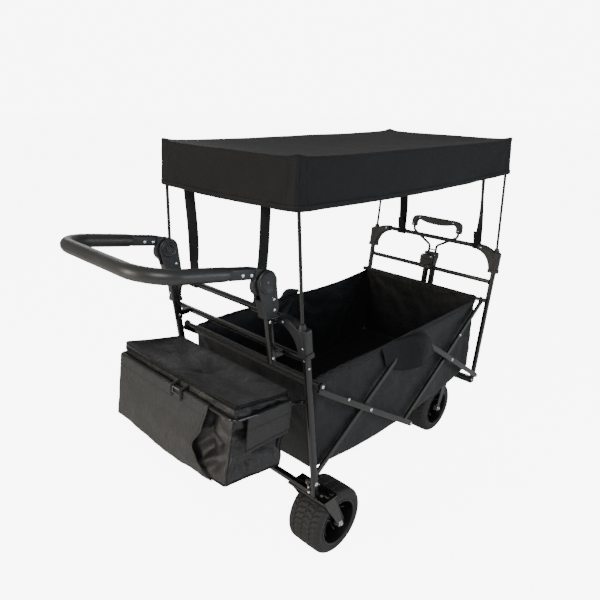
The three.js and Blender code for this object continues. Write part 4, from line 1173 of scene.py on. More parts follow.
# ---------------------------------------------------------------- pull handle
def pull_handle():
    up = turned_about(GRAB_X, GRAB_Z, LEAN)
    tubes = Piece("pull_tubes", TUBE, PLASTIC, ZINC)
    for _, side in SIDES:
        y = side * GRAB_TUBE_Y
        bore = circle(GRAB_TUBE_R, 28)
        tubes.add(swept([(0, y, 20), (0, y, GRAB_TUBE_TOP - 4)], bore), turn=up)
    tubes.add(bar((0, 0, -9), (0, 0, 32), 58, 18, 5.5), PLASTIC, up)
    tubes.add(turned([(0, 0), (5, 0), (5, 82), (0, 82)], (0, -41, 0), Y_AXIS, 18), ZINC, up)
    tubes.add(bar((0, 0, GRAB_TUBE_TOP - 24), (0, 0, GRAB_TUBE_TOP), 61, 28, 9), PLASTIC, up)
    tubes.add(bar((0, 0, GRAB_TUBE_TOP - 34), (0, 0, GRAB_TUBE_TOP - 23), 58, 26, 8), PLASTIC, up)
    for face in (-1, 1):
        for _, side in SIDES:
            tubes.add(dome((face * 13.8, side * 21, GRAB_TUBE_TOP - 12), face * X_AXIS, 3.6, 1.8), ZINC, up)
        tubes.add(
            bar((face * 13, 0, GRAB_TUBE_TOP - 20), (face * 13, 0, GRAB_TUBE_TOP - 5), 16, 4, 1.6),
            PLASTIC, up
        )
    for z in (120, 300):
        tubes.add(bar((0, 0, z), (0, 0, z + 14), 40, 8, 2), TUBE, up)
    tubes.build("pull_handle", "tube", "pull_handle_tubes")

    rods = Piece("pull_rods", TUBE, ZINC)
    for _, side in SIDES:
        route = [
            (0, side * GRAB_TUBE_Y, 80), (0, side * GRAB_TUBE_Y, 484), (0, side * 102, 534),
            (0, side * 103, 567)
        ]
        rods.add(pipe(route, 16, GRAB_ROD_R, 18), turn=up)
    rods.add(bar((0, -GRAB_TUBE_Y, 465), (0, GRAB_TUBE_Y, 465), 6, 9, 2.4, Z_AXIS), turn=up)
    rods.build("pull_handle_slide", "tube", "pull_handle_rods")

    low, high, wide, inside = 550, 598, 115, 93
    half = [(inside + 1, low), (wide - 1, low), (wide, low + 3), (wide, low + 22)]
    half += curve((wide, low + 22), (wide, high), (wide - 37, high), 16)
    under = [(0, low + 19)] + curve((0, low + 19), (46, low + 19), (inside - 21, low + 29), 14)
    under += curve(
        (inside - 21, low + 29), (inside, low + 30), (inside, low + 16), 12
    ) + [(inside, low + 3)]
    right = under + half + [(0, high)]
    outline = right + [(-y, z) for y, z in reversed(right[1:-1])]
    grip = Piece("pull_grip", PLASTIC, ZINC)
    grip.add(slab(outline, -10.8, 10.8, "YZ", 3.4), turn=up)
    for face in (-1, 1):
        for y, z in ((-104, low + 10), (104, low + 10), (-78, high - 9), (78, high - 9)):
            grip.add(dome((face * 10.6, y, z), face * X_AXIS, 3.6, 1.8), ZINC, up)
        for i in range(9):  # finger ribs on the palm
            y = -48 + 12 * i
            grip.add(bar((face * 10.4, y, high - 24), (face * 10.4, y, high - 7), 3.2, 1.4, 0.6), turn=up)
    grip.build("pull_handle_slide", "plastic", "pull_handle_grip", sharp=34)

    # the clip on the front middle bar that the tubes snap into
    clip = Piece("front_bar_clip", PLASTIC, ZINC)
    for z0, z1, wide, x0, x1 in ((-6, 53, 58, -19, -8.2), (9, 36, 44, -25, -17)):
        mid = FRONT_MID_Z
        w = wide / 2
        outline = [(-w, mid + z0 + 6), (-w + 6, mid + z0), (w - 6, mid + z0), (w, mid + z0 + 6)]
        outline += [(w, mid + z1 - 7), (w - 7, mid + z1), (-w + 7, mid + z1), (-w, mid + z1 - 7)]
        lean = Matrix.Translation((lean_x(1, mid), 0, mid)) @ Matrix.Rotation(LEAN, 4, "Y")
        lean = lean @ Matrix.Translation((0, 0, -mid))
        clip.add(slab(outline, x0, x1, "YZ", 2.2), turn=lean)
    for y in (-20, 20):
        clip.add(dome(lean @ Vector((-19, y, FRONT_MID_Z + 45)), -X_AXIS, 4.2, 2.2), ZINC)
        clip.add(dome(lean @ Vector((-19, y * 0.7, FRONT_MID_Z + 3)), -X_AXIS, 2.6, 1.4), DARK_ZINC)
    for _, side in SIDES:
        a, b = sorted((side * 29.5, side * 33.5))
        ear = [
            (-12, FRONT_MID_Z + 12), (9, FRONT_MID_Z + 12), (19, FRONT_MID_Z + 22),
            (19, FRONT_MID_Z + 38), (8, FRONT_MID_Z + 46), (-12, FRONT_MID_Z + 46)
        ]
        clip.add(slab(ear, a, b, soft=1.4), turn=lean)
    cuff = [
        (-30, FRONT_MID_Z - 9.5), (30, FRONT_MID_Z - 9.5), (30, FRONT_MID_Z + 9.5),
        (-30, FRONT_MID_Z + 9.5)
    ]
    clip.add(slab(cuff, -9.5, 8.4, "YZ", 2), turn=lean)
    clip.build("front_frame", "plastic")


def round_the_box(hx, hy, radius, step):
    """Evenly spaced (x, y) round a rounded rectangle, anticlockwise, with the outward normals."""
    corners = [(hx, -hy), (hx, hy), (-hx, hy), (-hx, -hy)]
    ring = []
    for k, (cx, cy) in enumerate(corners):
        centre = (cx - math.copysign(radius, cx), cy - math.copysign(radius, cy))
        for i in range(7):
            a = (k - 1) * math.pi / 2 + i * math.pi / 12
            n = Vector((math.cos(a), math.sin(a)))
            ring.append((Vector(centre) + n * radius, n))
        # the straight run on to the next corner
        nx, ny = corners[(k + 1) % 4]
        start = ring[-1][0]
        stop = Vector(
            (nx - math.copysign(radius, nx), ny - math.copysign(radius, ny))
        ) + ring[-1][1] * radius
        count = max(2, int((stop - start).length / step))
        ring += [(start.lerp(stop, i / count), ring[-1][1]) for i in range(1, count)]
    return [(p.x, p.y, n) for p, n in ring]


def rings_sheet(rings):
    """A skin over closed rings of equal count, with UVs that follow the cloth in metres."""
    count = len(rings[0])
    points, uvs, faces = [], [], []
    down = [0.0] * count
    for j, ring in enumerate(rings):
        along = 0.0
        for i in range(count + 1):
            p = Vector(ring[i % count])
            if i:
                along += (p - Vector(ring[i - 1])).length
            if j:
                down_here = down[i % count] + (p - Vector(rings[j - 1][i % count])).length
            else:
                down_here = 0.0
            points.append(p)
            uvs.append((along / 1000, down_here / 1000))
            if i < count:
                down[i] = down_here
    wide = count + 1
    for j in range(len(rings) - 1):
        for i in range(count):
            faces.append([j * wide + i, j * wide + i + 1, (j + 1) * wide + i + 1, (j + 1) * wide + i])
    return points, faces, uvs


def patch(columns, rows, at, size):
    """A grid of cloth from at(u, v), u and v from 0 to 1; size is its cut in metres."""
    points = [at(i / columns, j / rows) for j in range(rows + 1) for i in range(columns + 1)]
    uvs = [(size[0] * i / columns, size[1] * j / rows) for j in range(rows + 1) for i in range(columns + 1)]
    wide = columns + 1
    faces = [
        [j * wide + i, j * wide + i + 1, (j + 1) * wide + i + 1, (j + 1) * wide + i]
        for j in range(rows)
        for i in range(columns)
    ]
    return points, faces, uvs


def ripple(p, size, seed=0.0):
    """Smooth cloth noise from -1 to 1 at p, with features of the given size in mm."""
    return noise.noise(Vector(p) / size + Vector((seed, 1.7 * seed, 0.3 * seed)))


def creases(p, anchors, reach, count=9, seed=0.0):
    """Pulled folds that fan out from the anchors and die away with distance."""
    total = 0.0
    for k, a in enumerate(anchors):
        d = Vector(p) - Vector(a)
        far = d.length
        if far < 3 * reach:
            angle = math.atan2(d.z, abs(d.x) + abs(d.y) + 1e-6)
            wave = math.sin(count * angle + seed + 1.3 * k + 1.5 * ripple(p, 90, seed))
            total += wave * math.exp(-far / reach) * min(1.0, far / 25)
    return total


# ---- canopy
def canopy_top(x, y):
    u, v = min(1, abs(x) / CANOPY_HALF_X), min(1, abs(y) / CANOPY_HALF_Y)
    sag = 15 * (1 - u**2.4) ** 0.8 * (1 - v**2) + 7 * (1 - u**6) + 4 * (1 - v**6) * u**4
    corner = 5.0 * math.exp(-(((1 - u) * 566) ** 2 + ((1 - v) * CANOPY_HALF_Y) ** 2) / 500)
    return CANOPY_Z - 5.5 - sag + corner + 2.2 * ripple((x, y, 0), 160, 3.0) * (1 - u * v)


def canopy_hem(x, y):
    if abs(y) / CANOPY_HALF_Y > abs(x) / CANOPY_HALF_X:
        return CANOPY_Z - CANOPY_DROP - 13 * (1 - (x / CANOPY_HALF_X) ** 2)
    return CANOPY_Z - CANOPY_DROP - 6 * (1 - (y / CANOPY_HALF_Y) ** 2)


def canopy_side(x, y, n, t):
    """A point on the skirt at share t of the way from the top seam to the hem."""
    top, low = canopy_top(x, y) - 3.5, canopy_hem(x, y)
    z = top + (low - top) * t
    p = Vector((x, y, z))
    near_corner = math.exp(-((abs(x) - CANOPY_HALF_X) ** 2 + (abs(y) - CANOPY_HALF_Y) ** 2) / 20000)
    wave = 6.0 * ripple((x, y, z * 0.7), 120, 8.0) + 3.0 * ripple((x, y, z), 48, 2.0)
    pull = 4.4 * creases(p, CANOPY_CORNERS, 150, 9)
    out = (wave * (1 - 0.8 * near_corner) + pull) * t**0.7 - 2.0 * math.sin(math.pi * t) + 1.5 * t
    return p + Vector((n.x, n.y, 0)) * (min(out, 7.0) + (1.5 + 6.0 * t) * near_corner)


CANOPY_CORNERS = [(sx * CANOPY_HALF_X, sy * CANOPY_HALF_Y, CANOPY_Z) for sx in (-1, 1) for sy in (-1, 1)]


def canopy():
    ring = round_the_box(CANOPY_HALF_X - 3, CANOPY_HALF_Y, 9, 11)
    rings = []
    for share in [i / 22 for i in range(1, 22)] + [0.975, 0.992]:
        rings.append([(x * share, y * share, canopy_top(x * share, y * share)) for x, y, _ in ring])
    rings.append([(x - 1.0 * n.x, y - 1.0 * n.y, canopy_top(x, y) - 0.7) for x, y, n in ring])
    for j in range(15):
        rings.append([canopy_side(x, y, n, j / 14) for x, y, n in ring])
    cloth = Piece("canopy_cloth", CANVAS)
    middle = [(x * 0.002, y * 0.002, canopy_top(0, 0)) for x, y, _ in ring]
    cloth.add(rings_sheet([middle] + rings))
    sheet = cloth.build("root", "canvas", "canopy", sharp=180, thick=1.0)

    trim = Piece("canopy_trim", CANVAS, THREAD, PIPING)
    low = [canopy_side(x, y, n, 1.0) for x, y, n in ring]
    out = [Vector((n.x, n.y, 0)) for _, _, n in ring]
    hem = []
    for p, n in zip(low, out):
        hem.append([p + n * 1.5 + Z_AXIS * 13, p + n * 2.0 + Z_AXIS * 12, p + n * 2.0 + Z_AXIS * 0.6,
                    p - Z_AXIS * 0.9, p - n * 1.8 + Z_AXIS * 0.6, p - n * 1.6 + Z_AXIS * 12])
    trim.add(loft(hem + hem[:1], capped=False))
    above = [canopy_side(x, y, n, 1.0) + Vector((n.x, n.y, 0)) * 1.9 + Z_AXIS * 11 for x, y, n in ring]
    for shape in stitch_row(above, out, 3.4, 2.4, 0.4):
        trim.add(shape, THREAD)
    edge = [Vector((x, y, canopy_top(x, y) - 1.6)) + 0.6 * Vector((n.x, n.y, 0)) for x, y, n in ring]
    trim.add(swept(edge + edge[:1], circle(1.5, 8), side=Z_AXIS, capped=False), PIPING)
    for sx in (-1, 1):
        for sy in (-1, 1):
            k = min(range(len(ring)), key=lambda i: -sx * ring[i][0] - sy * ring[i][1])
            x, y, n = ring[k]
            seam = [canopy_side(x, y, n, j / 30) + Vector((n.x, n.y, 0)) * 0.9 for j in range(31)]
            trim.add(swept(seam, circle(1.3, 8), side=Y_AXIS), PIPING)
            for step in (-5, 5):
                x, y, n = ring[(k + step) % len(ring)]
                run = [canopy_side(x, y, n, j / 30) + Vector((n.x, n.y, 0)) * 1.0 for j in range(1, 30)]
                for shape in stitch_row(run, [Vector((n.x, n.y, 0))] * 30, 3.2, 2.2, 0.38):
                    trim.add(shape, THREAD)
    trim = trim.build("root", "canvas", sharp=60)
    for obj in (sheet, trim):
        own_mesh(obj)


# ---- basket
BASKET_X, BASKET_Y, BASKET_TOP, BASKET_BULGE = 473, 262, 596, 6.0


def basket_rim(x, y):
    if abs(x) > BASKET_X - 12:
        return BASKET_TOP - 2
    t = abs(x) / (BASKET_X - 12)
    sag = (13 if x > 0 else 6) * math.sin(math.pi * t) - (8 * math.sin(math.pi * t**1.6) if x < 0 else 0)
    return BASKET_TOP - 6 * (1 - t) ** 2 - sag + 1.6 * ripple((x, y, 0), 70, 4.0) * (1 - t**4)


def basket_floor(x, y):
    ends_up = 44 * min(1, (x / BASKET_X) ** 2)
    return 262 + ends_up - 3.0 * (1 - (y / BASKET_Y) ** 2) + 2.4 * ripple((x, y, 0), 110, 6.0)


BASKET_ANCHORS = [(sx * BASKET_X, sy * BASKET_Y, BASKET_TOP) for sx in (-1, 1) for sy in (-1, 1)]
BASKET_ANCHORS += [(0, sy * BASKET_Y, BASKET_TOP - 6) for sy in (-1, 1)]


def basket_wall(x, y, n, t):
    top, low = basket_rim(x, y), basket_floor(x, y) + 4
    z = top + (low - top) * t
    p = Vector((x, y, z))
    free = math.sin(math.pi * min(1, t * 1.02)) ** 0.7
    corner = math.exp(-((abs(x) - BASKET_X) ** 2 + (abs(y) - BASKET_Y) ** 2) / 3000)
    belly = 1.0 * free * (1 - corner)
    folds = 9.0 * ripple((x, y, z * 0.6), 110, 5.0) + 4.0 * ripple((x + 0.5 * z, y, z), 42, 9.0) - 4.0
    pull = 7.0 * creases(p, BASKET_ANCHORS, 140, 9, 0.6)
    gather = 2.2 * math.sin(x * 0.16 + 2 * ripple(p, 60)) * math.exp(-t * 5) * max(0, -x / BASKET_X) ** 2
    out = belly + (folds + pull) * free + gather * abs(n.y)
    if abs(y) > BASKET_Y - 16:
        out = min(out, BASKET_BULGE)
    else:
        out = min(out * 0.6, 4.0)
    return p + Vector((n.x, n.y, 0)) * out


def basket():
    ring = round_the_box(BASKET_X, BASKET_Y, 12, 9)
    rings = [[basket_wall(x, y, n, j / 30) for x, y, n in ring] for j in range(31)]
    for share in (0.992, 0.975, 0.94, 0.88, 0.8, 0.7, 0.6, 0.5, 0.4, 0.3, 0.2, 0.1, 0.01):
        rings.append([(x * share, y * share, basket_floor(x * share, y * share)) for x, y, _ in ring])
    cloth = Piece("basket_cloth", BASKET_CLOTH)
    cloth.add(rings_sheet(rings))
    sheet = cloth.build("root", "canvas", "basket", sharp=180, thick=1.4)

    trim = Piece("basket_trim", BASKET_CLOTH, PIPING, THREAD)
    count = len(ring)
    for _, side in SIDES:  # the bound top edges and their stitches
        run = [
            i for i in range(count) if ring[i][1] * side > BASKET_Y - 1 and abs(ring[i][0]) < BASKET_X - 8
        ]
        rim = [basket_wall(*ring[i], 0.0) for i in run]
        trim.add(swept([p - 5 * Z_AXIS for p in rim], rounded_section(12, 4, 1.9, 4), side=Z_AXIS), PIPING)
        for level in (0.048, 0.085):
            line = [basket_wall(*ring[i], level) + side * Y_AXIS * 0.9 for i in run]
            for shape in stitch_row(line, [side * Y_AXIS] * count, 3.4, 2.4, 0.42):
                trim.add(shape, THREAD)
    for sx in (-1, 1):
        for _, side in SIDES:
            k = min(range(count), key=lambda i: -sx * ring[i][0] - side * ring[i][1])
            seam = [
                basket_wall(*ring[k], j / 40) + Vector((ring[k][2].x, ring[k][2].y, 0)) * 0.8
                for j in range(41)
            ]
            trim.add(swept(seam, circle(1.9, 10), side=Y_AXIS), PIPING)
        # a sleeve round the end rod with a seam under it
        rows = []
        for i in range(91):
            y = -252 + 504 * i / 90
            puff = 0.9 * ripple((sx * ROD_X, y, 0), 26, 2.0) + 0.5 * ripple((sx * ROD_X, y, 0), 9, 7.0)
            r = 10.2 + puff - (1.6 if i in (0, 90) else 0)
            tail = [(sx * (r - 2.2) * -1, -22 + puff), (sx * -5.0, -24)]
            loop = [
                (r * math.cos(a) * sx, r * math.sin(a))
                for a in (math.radians(-60 + 15 * k) for k in range(18))
            ]
            loop += [(-sx * 9.6, -9)] + tail + [(sx * 3.0, -14)]
            rows.append([(sx * ROD_X + px, y, ROD_Z + pz) for px, pz in loop])
        trim.add(loft(rows))
        face = [
            i for i in range(count) if ring[i][0] * sx > BASKET_X - 1 and abs(ring[i][1]) < BASKET_Y - 16
        ]
        line = [basket_wall(*ring[i], 0.095) + sx * X_AXIS * 1.2 for i in face]
        for shape in stitch_row(line, [sx * X_AXIS] * count, 3.4, 2.4, 0.42):
            trim.add(shape, THREAD)
        # two quilting seams that cross on the end panel
        for lean in (-1, 1):
            cross = []
            for j in range(41):
                y, t = lean * (-225 + 450 * j / 40), 0.12 + 0.8 * j / 40
                cross.append(basket_wall(sx * BASKET_X, y, Vector((sx, 0)), t) - sx * X_AXIS * 1.4)
            for shape in stitch_row(cross, [-sx * X_AXIS] * 41, 4.0, 2.6, 0.4):
                trim.add(shape, THREAD)
    trim = trim.build("root", "canvas", sharp=60)

    flaps = []
    for label, side in SIDES:  # the flap that hangs over the hub of the links
        def drop(u, v, side=side):
            rise = math.exp(-(((u - 0.78) / 0.3) ** 2))
            top = Vector((-165 + 190 * u, BASKET_Y - 1, 594))
            over = Vector((-160 + 200 * u, BASKET_Y + 7 + 66 * rise, 590 + 46 * rise))
            fall = 30 * math.sin(math.pi * u**0.8) + 12 * u
            low = Vector((-135 + 221 * u, BASKET_Y + 7 + 46 * smooth(0.0, 0.7, u), 520 - fall))
            p = (1 - v) ** 2 * top + 2 * v * (1 - v) * over + v * v * low
            p += Y_AXIS * (2.6 * math.sin(9 * u + 1.2) * v + 1.4 * ripple(p, 30, 3.0) * v)
            return Vector((p.x, side * p.y, p.z + 1.5 * ripple(p, 40, 5.0)))
        flap = Piece(f"hub_flap_{label}", CANVAS)
        flap.add(patch(40, 44, drop, (0.24, 0.165)))
        flap = flap.build("root", "canvas", sharp=180, thick=1.2)
        edge = Piece(f"hub_flap_trim_{label}", PIPING, THREAD)
        outline = [drop(0, j / 30) for j in range(6, 31)] + [drop(i / 30, 1) for i in range(1, 31)]
        outline += [drop(1, 1 - j / 30) for j in range(1, 25)]
        edge.add(swept(outline, circle(1.5, 8)), PIPING)
        middle = [drop(0.64, j / 40) + side * Y_AXIS * 0.8 for j in range(8, 40)]
        edge.add(swept(middle, circle(1.0, 6)), PIPING)
        for shape in stitch_row([p + 6 * X_AXIS for p in middle], [side * Y_AXIS] * 40, 3.0, 2.2, 0.38):
            edge.add(shape, THREAD)
        edge = edge.build("root", "canvas", sharp=60)
        flaps += [flap, edge]
    for obj in [sheet, trim] + flaps:
        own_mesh(obj)


# ---- storage bag, drawn from its inner top edge: -x outwards, -z down the bag
def bag_side(x, y, n, t):
    z = -3 - (BAG_DEEP - 3) * t
    neck = bag_neck(y) * max(0.0, 1 - t / 0.16) ** 1.5
    p = Vector((x + max(0.0, -n.x) * neck, y - n.y * neck, z))
    corner = math.exp(-((abs(x + BAG_LONG / 2) - BAG_LONG / 2) ** 2 + (abs(y) - BAG_HALF) ** 2) / 2600)
    end = abs(n.y)
    sag = -14 * t * (1 - 0.75 * (y / BAG_HALF) ** 2) * abs(n.x)
    folds = 4.5 * ripple(p, 80, 4.0) + 2.4 * ripple(p, 30, 11.0)
    tilted = Vector((x + 0.8 * z, y + 0.7 * z, z - 0.5 * x))
    ridge = 1 - 2.4 * abs(ripple(tilted, 110, 21.0))
    small = 1 - 2.4 * abs(ripple(tilted, 50, 31.0))
    crumple = (30.0 * (ridge - 0.78) + 14.0 * (small - 0.78)) * (
        end + 0.75 * (1 - end) * smooth(-100, -170, y)
    )
    tuck = -14.0 * end * math.sin(math.pi * t) * math.exp(-((x + 0.45 * BAG_LONG) ** 2) / 2200)
    pull = 5.0 * creases(p, BAG_ANCHORS, 95, 8, 2.0) * (0.35 + end)
    out = (folds + crumple + tuck + pull) * math.sin(math.pi * min(1, 0.08 + 0.9 * t)) ** 0.8
    out *= 1 - 0.35 * corner
    out = min(out, 5.0)
    if n.x > 0.5:
        out = min(0.35 * out, 3.0)
    return p + Vector((n.x, n.y, 0)) * out + Z_AXIS * sag


def lid_edge(x, y, n, grow):
    """A point on the bag's mouth, drawn in from the wire, plus the given reach."""
    return Vector((x + max(0.0, -n.x) * bag_neck(y) + grow * n.x, y - n.y * (bag_neck(y) - grow), 0))


def bag_neck(y):
    return BAG_NECK * (0.45 - 0.55 * y / BAG_HALF)


BAG_NECK = 11
BAG_ANCHORS = [(x, s * BAG_HALF, z) for x in (-BAG_LONG, 0) for s in (-1, 1) for z in (-18, -BAG_DEEP)]


def bag():
    turn = turned_about(BAG_X, BAG_Z, BAG_TILT)
    mid = -BAG_LONG / 2
    ring = [(x + mid, y, n) for x, y, n in round_the_box(BAG_LONG / 2, BAG_HALF, 10, 7)]
    rings = [[bag_side(x, y, n, j / 34) for x, y, n in ring] for j in range(35)]
    base = rings[-1]
    for share in (0.985, 0.95, 0.88, 0.76, 0.6, 0.42, 0.22, 0.02):
        rings.append([
            Vector((mid + (p.x - mid) * share, p.y * share, p.z - 7 * (1 - share**2) - 1.5))
            + Z_AXIS * 2.0 * ripple(p * share, 60, 3.0)
            for p in base
        ])
    body = Piece("bag_cloth", NYLON)
    body.add(rings_sheet(rings), turn=turn)
    body = body.build("root", "nylon", "storage_bag", sharp=180, thick=1.2)
    seams = Piece("bag_seams", PIPING, THREAD)
    count = len(ring)
    for sx in (-BAG_LONG, 0):
        for _, side in SIDES:
            k = min(range(count), key=lambda i: abs(ring[i][0] - sx) + abs(ring[i][1] - side * BAG_HALF))
            line = [
                bag_side(*ring[k], j / 40) + 0.7 * Vector((ring[k][2].x, ring[k][2].y, 0))
                for j in range(41)
            ]
            seams.add(swept(line, circle(1.4, 8), side=Y_AXIS), turn=turn)
    foot = [bag_side(*r, 1.0) + 0.6 * Vector((r[2].x, r[2].y, 0)) for r in ring]
    seams.add(swept(foot + foot[:1], circle(1.5, 8), side=Z_AXIS, capped=False), turn=turn)
    hinge_side = [i for i in range(count) if ring[i][2].x > 0.1]
    free_edge = ring[hinge_side[-1] + 1:] + ring[:hinge_side[0]]
    # the zip under the lid: a thicker bead and a thinner one below it along the free edge
    for z, grow, radius in ((-2.4, 1.6, 2.0), (-7.4, 1.2, 1.2)):
        line = [lid_edge(*point, grow) + z * Z_AXIS for point in free_edge]
        seams.add(swept(line, circle(radius, 10), side=Z_AXIS), turn=turn)
    line = [bag_side(x, y, n, 0.06) + 1.2 * Vector((n.x, n.y, 0)) for x, y, n in ring]
    for shape in stitch_row(line, [Vector((n.x, n.y, 0)) for _, _, n in ring], 3.0, 2.2, 0.36):
        seams.add(shape, THREAD, turn)
    seams = seams.build("root", "nylon", sharp=60)

    # front flap over the wire loop, side flaps in two layers
    loop_x, loop_z, over = -BAG_LONG - 8, -25, 6.6
    held = []

    def wrap(edge_low, edge_high, length, seed):
        """From inside the loop, over it and down outside by length; edges may slant with the fall."""
        def at(u, v):
            s = v * length
            arc_run = math.pi * over
            if s < arc_run:
                a = math.pi - s / over
                out, z = over * math.cos(a), over * math.sin(a)
            else:
                out, z = over - 0.006 * (s - arc_run), -(s - arc_run)
            low, high = edge_low(max(0, s - arc_run) / length), edge_high(max(0, s - arc_run) / length)
            across = low + (high - low) * u
            fall = max(0, s - arc_run) / length
            wavy = 1.8 * ripple((across, s, seed), 70, seed) + 1.0 * ripple((across, s, seed), 24, seed + 3)
            return out + wavy * min(1, fall * 3), across, z + 0.6 * ripple((across, 0, 0), 30, seed)
        return at

    def near_edge(f):
        stops = ((0, -166), (0.3, -150), (0.58, -119), (0.72, -140), (0.82, -168), (0.9, -205), (1.0, -240))
        for (f0, y0), (f1, y1) in zip(stops, stops[1:]):
            if f <= f1:
                break
        return y0 + (y1 - y0) * smooth(f0, f1, f)

    shapes = wrap(near_edge, lambda f: 250 - 4 * f, 205, 5.0)

    def front_at(u, v):
        out, y, z = shapes(u, v)
        bow = -10 * v * (1 - (y / BAG_HALF) ** 2)
        billow = 9.0 * ripple((0, y, 2 * z), 150, 17.0) * v + 3.0 * ripple((0, y, z), 52, 7.0) * v
        return turn @ Vector((loop_x - out + 4.0 * v - max(billow, -3.0), y, loop_z + z + bow))

    front = Piece("bag_front_flap", NYLON)
    front.add(patch(90, 50, front_at, (0.41, 0.2)))
    front = front.build("root", "nylon", sharp=180, thick=1.2)
    trim = Piece("bag_flap_trim", PIPING, THREAD, DARK_ZINC, WEBBING)
    edge = [front_at(0, j / 40) for j in range(41)]
    trim.add(swept(edge, circle(1.2, 8)), PIPING)
    for shape in stitch_row(
        [front_at(0.022, j / 40) - X_AXIS * 0.8 for j in range(8, 40)], [-X_AXIS] * 40, 3.0, 2.2, 0.38
    ):
        trim.add(shape, THREAD)
    for shape in stitch_row(
        [front_at(i / 60, 0.235) - X_AXIS * 1.0 for i in range(1, 60)], [-X_AXIS] * 60, 3.0, 2.2, 0.38
    ):
        trim.add(shape, THREAD)
    for y in (-14, -56):  # webbing keepers either side of the latch
        keeper = [Vector((loop_x + 14, y, loop_z + 16)), Vector((loop_x + 2, y, loop_z + 12)),
                  Vector((loop_x - 9.6, y, loop_z + 3)), Vector((loop_x - 10.4, y, loop_z - 12)),
                  Vector((loop_x - 9, y, loop_z - 24))]
        trim.add(swept([turn @ p for p in keeper], rounded_section(11, 2.2, 1.0, 3), side=Y_AXIS), WEBBING)
    slot = [
        Vector((loop_x - 9.4, y, loop_z - 3 + dz)) for y,
        dz in ((-20, 6), (-50, 6), (-50, -9), (-20, -9), (-20, 6))
    ]
    trim.add(swept([turn @ p for p in slot], circle(1.6, 8)), DARK_ZINC)
    trim = trim.build("root", "nylon", sharp=60)

    for label, side in SIDES:
        layers = wrap(lambda f: -162 + 10 * f, lambda f: -8 + 14 * f, 100, 9.0 + side)

        def side_at(u, v, side=side, layers=layers):
            out, x, z = layers(u, v)
            rise = 9.0 * (x + 100) / 100
            return turn @ Vector(
                (x, side * (BAG_HALF + 9 + out - 4 * v), loop_z + rise + z - 8 * (1 - u) * v**4)
            )

        flap = Piece(f"bag_side_flap_{label}", NYLON)
        flap.add(patch(36, 30, side_at, (0.155, 0.1)))
        flap = flap.build("root", "nylon", sharp=180, thick=1.2)

        def under_at(u, v, side=side):
            p = side_at(0.03 + 0.94 * u, 0.55 + 0.62 * v if v < 0.72 else 0.9964)
            if v >= 0.72:
                p = p - Z_AXIS * (v - 0.72) * 48
            return p - side * Y_AXIS * 3.2

        bind = Piece(f"bag_side_trim_{label}", PIPING, THREAD, NYLON)
        rim = [side_at(0, j / 20) for j in range(4, 21)] + [side_at(i / 20, 1) for i in range(1, 21)]
        rim += [side_at(1, 1 - j / 20) for j in range(1, 17)]
        bind.add(swept(rim, circle(1.3, 8)), PIPING)
        seam = [side_at(i / 40, 0.5) + side * Y_AXIS * 1.0 for i in range(1, 40)]
        for shape in stitch_row(seam, [side * Y_AXIS] * 40, 3.0, 2.2, 0.36):
            bind.add(shape, THREAD)
        bind = bind.build("root", "nylon", sharp=60)
        lower = Piece(f"bag_side_under_{label}", NYLON)
        lower.add(patch(30, 16, under_at, (0.145, 0.055)))
        lower = lower.build("root", "nylon", sharp=180, thick=1.0)

    def lid_z(x, y):
        u, v = abs(x - mid) / (BAG_LONG / 2), abs(y) / BAG_HALF
        inner = max(0.0, 1 - u**3) * max(0.0, 1 - v**4)
        soft = 6.0 * ripple((x, 0.6 * y, 0), 62, 14.0) + 2.4 * ripple((x, y, 0), 26, 5.0)
        soft += 5.0 * (0.5 - 1.6 * abs(ripple((x + 0.4 * y, 0.5 * y, 0), 90, 27.0)))
        lift = 6.0 * math.exp(-((x + BAG_LONG) ** 2 + (y - BAG_HALF) ** 2) / 3500)
        return 6.5 - 21 * inner**0.7 + soft * inner**0.4 + lift + 1.6 * ripple((x, y, 0), 110, 6.0)

    def lid_at(x, y, n, share, grow=0.0):
        p = lid_edge(x, y, n, grow)
        px, py = mid + (p.x - mid) * share, p.y * share
        return Vector((px, py, lid_z(px, py)))

    shares = (0.005, 0.12, 0.24, 0.36, 0.48, 0.6, 0.7, 0.79, 0.86, 0.91, 0.945, 0.97, 0.985, 0.994)
    rings = [[lid_at(*point, share) for point in ring] for share in shares]
    rings.append([lid_at(*point, 1.0, 1.4) - 0.8 * Z_AXIS for point in ring])
    rings.append([lid_at(*point, 1.0, 2.2) - (3.4 - 2.2 * max(0, point[2].x)) * Z_AXIS for point in ring])
    rings.append([lid_edge(*point, 2.0) + (0.4 + 3.6 * max(0, point[2].x)) * Z_AXIS for point in ring])
    lid = Piece("lid_cloth", NYLON)
    lid.add(rings_sheet(rings), turn=turn)
    lid = lid.build("bag_lid", "nylon", "bag_lid", sharp=180, thick=1.2)
    edge = Piece("lid_piping", PIPING, THREAD)
    line = [turn @ (lid_at(*point, 1.0, 1.6) - 0.4 * Z_AXIS) for point in ring]
    edge.add(swept(line + line[:1], circle(1.9, 10), side=Z_AXIS, capped=False))
    inner = [turn @ (lid_at(*point, 0.95) + 0.9 * Z_AXIS) for point in ring]
    for shape in stitch_row(inner, [Z_AXIS] * count, 3.0, 2.2, 0.38):
        edge.add(shape, THREAD)
    edge = edge.build("bag_lid", "nylon", sharp=60)

    wire = Piece("bag_wire", TUBE)
    far = turn @ Vector((loop_x, 0, loop_z))
    end_z = (turn @ Vector((0, 0, -25))).z - 6
    end_x = lean_x(-1, end_z)
    route = [(end_x, -LEG_Y + 8, end_z), (end_x, -BAG_HALF - 9, end_z), (far.x, -BAG_HALF - 9, far.z),
             (far.x, BAG_HALF + 9, far.z), (end_x, BAG_HALF + 9, end_z), (end_x, LEG_Y - 8, end_z)]
    wire.add(pipe(route, 14, 5, 18))
    wire.build("root", "steel", "bag_loop")


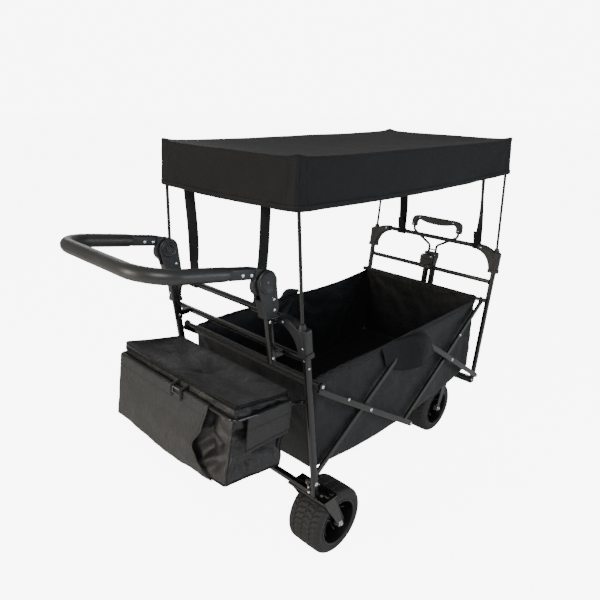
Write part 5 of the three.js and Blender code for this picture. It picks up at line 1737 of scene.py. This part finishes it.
# ---- webbing straps from the canopy to the top bars
def straps():
    for where, label, end, high, low, twist, wide in (
        ("rear", "right", -1, -160, -112, 1.05, 27),
        ("rear", "left", -1, 176, 166, 0.85, 30),
        ("front", "right", 1, -192, -200, 0.8, 30),
        ("front", "left", 1, 165, 149, -0.5, 34),
    ):
        top = Vector((end * 546, high, CANOPY_Z - 26))
        bar_x = lean_x(end, TOP_BAR_Z)
        foot = Vector((bar_x + end * 2, low, TOP_BAR_Z + 15))
        path, across = [], []
        for i in range(31):
            t = i / 30
            p = top.lerp(foot, t)
            p += Vector((end * -6 * math.sin(math.pi * t), 4 * math.sin(2 * math.pi * t), 0))
            path.append(p)
            turn = twist * smooth(1.0, 0.7, t) if end < 0 else twist * math.sin(math.pi * t)
            across.append(Vector((math.sin(turn) * end, math.cos(turn), 0)))
        # round the bar and back up against itself, ending in a loose tab
        for a in range(-60, 241, 20):
            r = 11.5
            path.append(
                Vector(
                    (
                        bar_x + end * r * math.cos(math.radians(90 - a)) * -1, low,
                        TOP_BAR_Z + r * math.sin(math.radians(90 - a))
                    )
                )
            )
            across.append(Y_AXIS)
        for k, rise in enumerate((14, 30, 46, 58)):
            path.append(Vector((bar_x - end * (4.5 + 1.6 * k), low + 2.2 * k, TOP_BAR_Z + rise)))
            across.append(Vector((0.1 * k * end, 1, 0)).normalized())
        section = rounded_section(wide, 1.8, 0.85, 3)
        rings = []
        for i, (p, u) in enumerate(zip(path, across)):
            ahead = (path[min(i + 1, len(path) - 1)] - path[max(i - 1, 0)]).normalized()
            u = (u - ahead * u.dot(ahead)).normalized()
            v = ahead.cross(u)
            less = 0.86 if i == len(path) - 1 else 1.0
            rings.append([p + u * a * less + v * b for a, b in section])
        strap = Piece(f"{where}_webbing_{label}", WEBBING, THREAD, VELCRO)
        points, faces = loft(rings)
        around = len(section)
        length = [0.0]
        for a, b in zip(path, path[1:]):
            length.append(length[-1] + (b - a).length)
        uvs = [(section[i % around][0] / 1000, length[i // around] / 1000) for i in range(len(points))]
        strap.add((points, faces, uvs))
        for offset in (-6, 6):  # a box of stitches where the tab is sewn down
            box = [path[28] + across[28] * s * 14 + Vector((end * 1.6, 0, offset)) for s in (-1, 1)]
            for shape in stitch_row(box, [end * X_AXIS], 3.0, 2.0, 0.45):
                strap.add(shape, THREAD)
        strap.build("root" if end < 0 else "front_frame", "webbing", f"{where}_strap_{label}", sharp=40)


# ---------------------------------------------------------------- the whole
camera()
studio()
finish_frames()
corner_brackets()
links()
wheels()
push_handle()
pull_handle()
canopy()
basket()
bag()
straps()
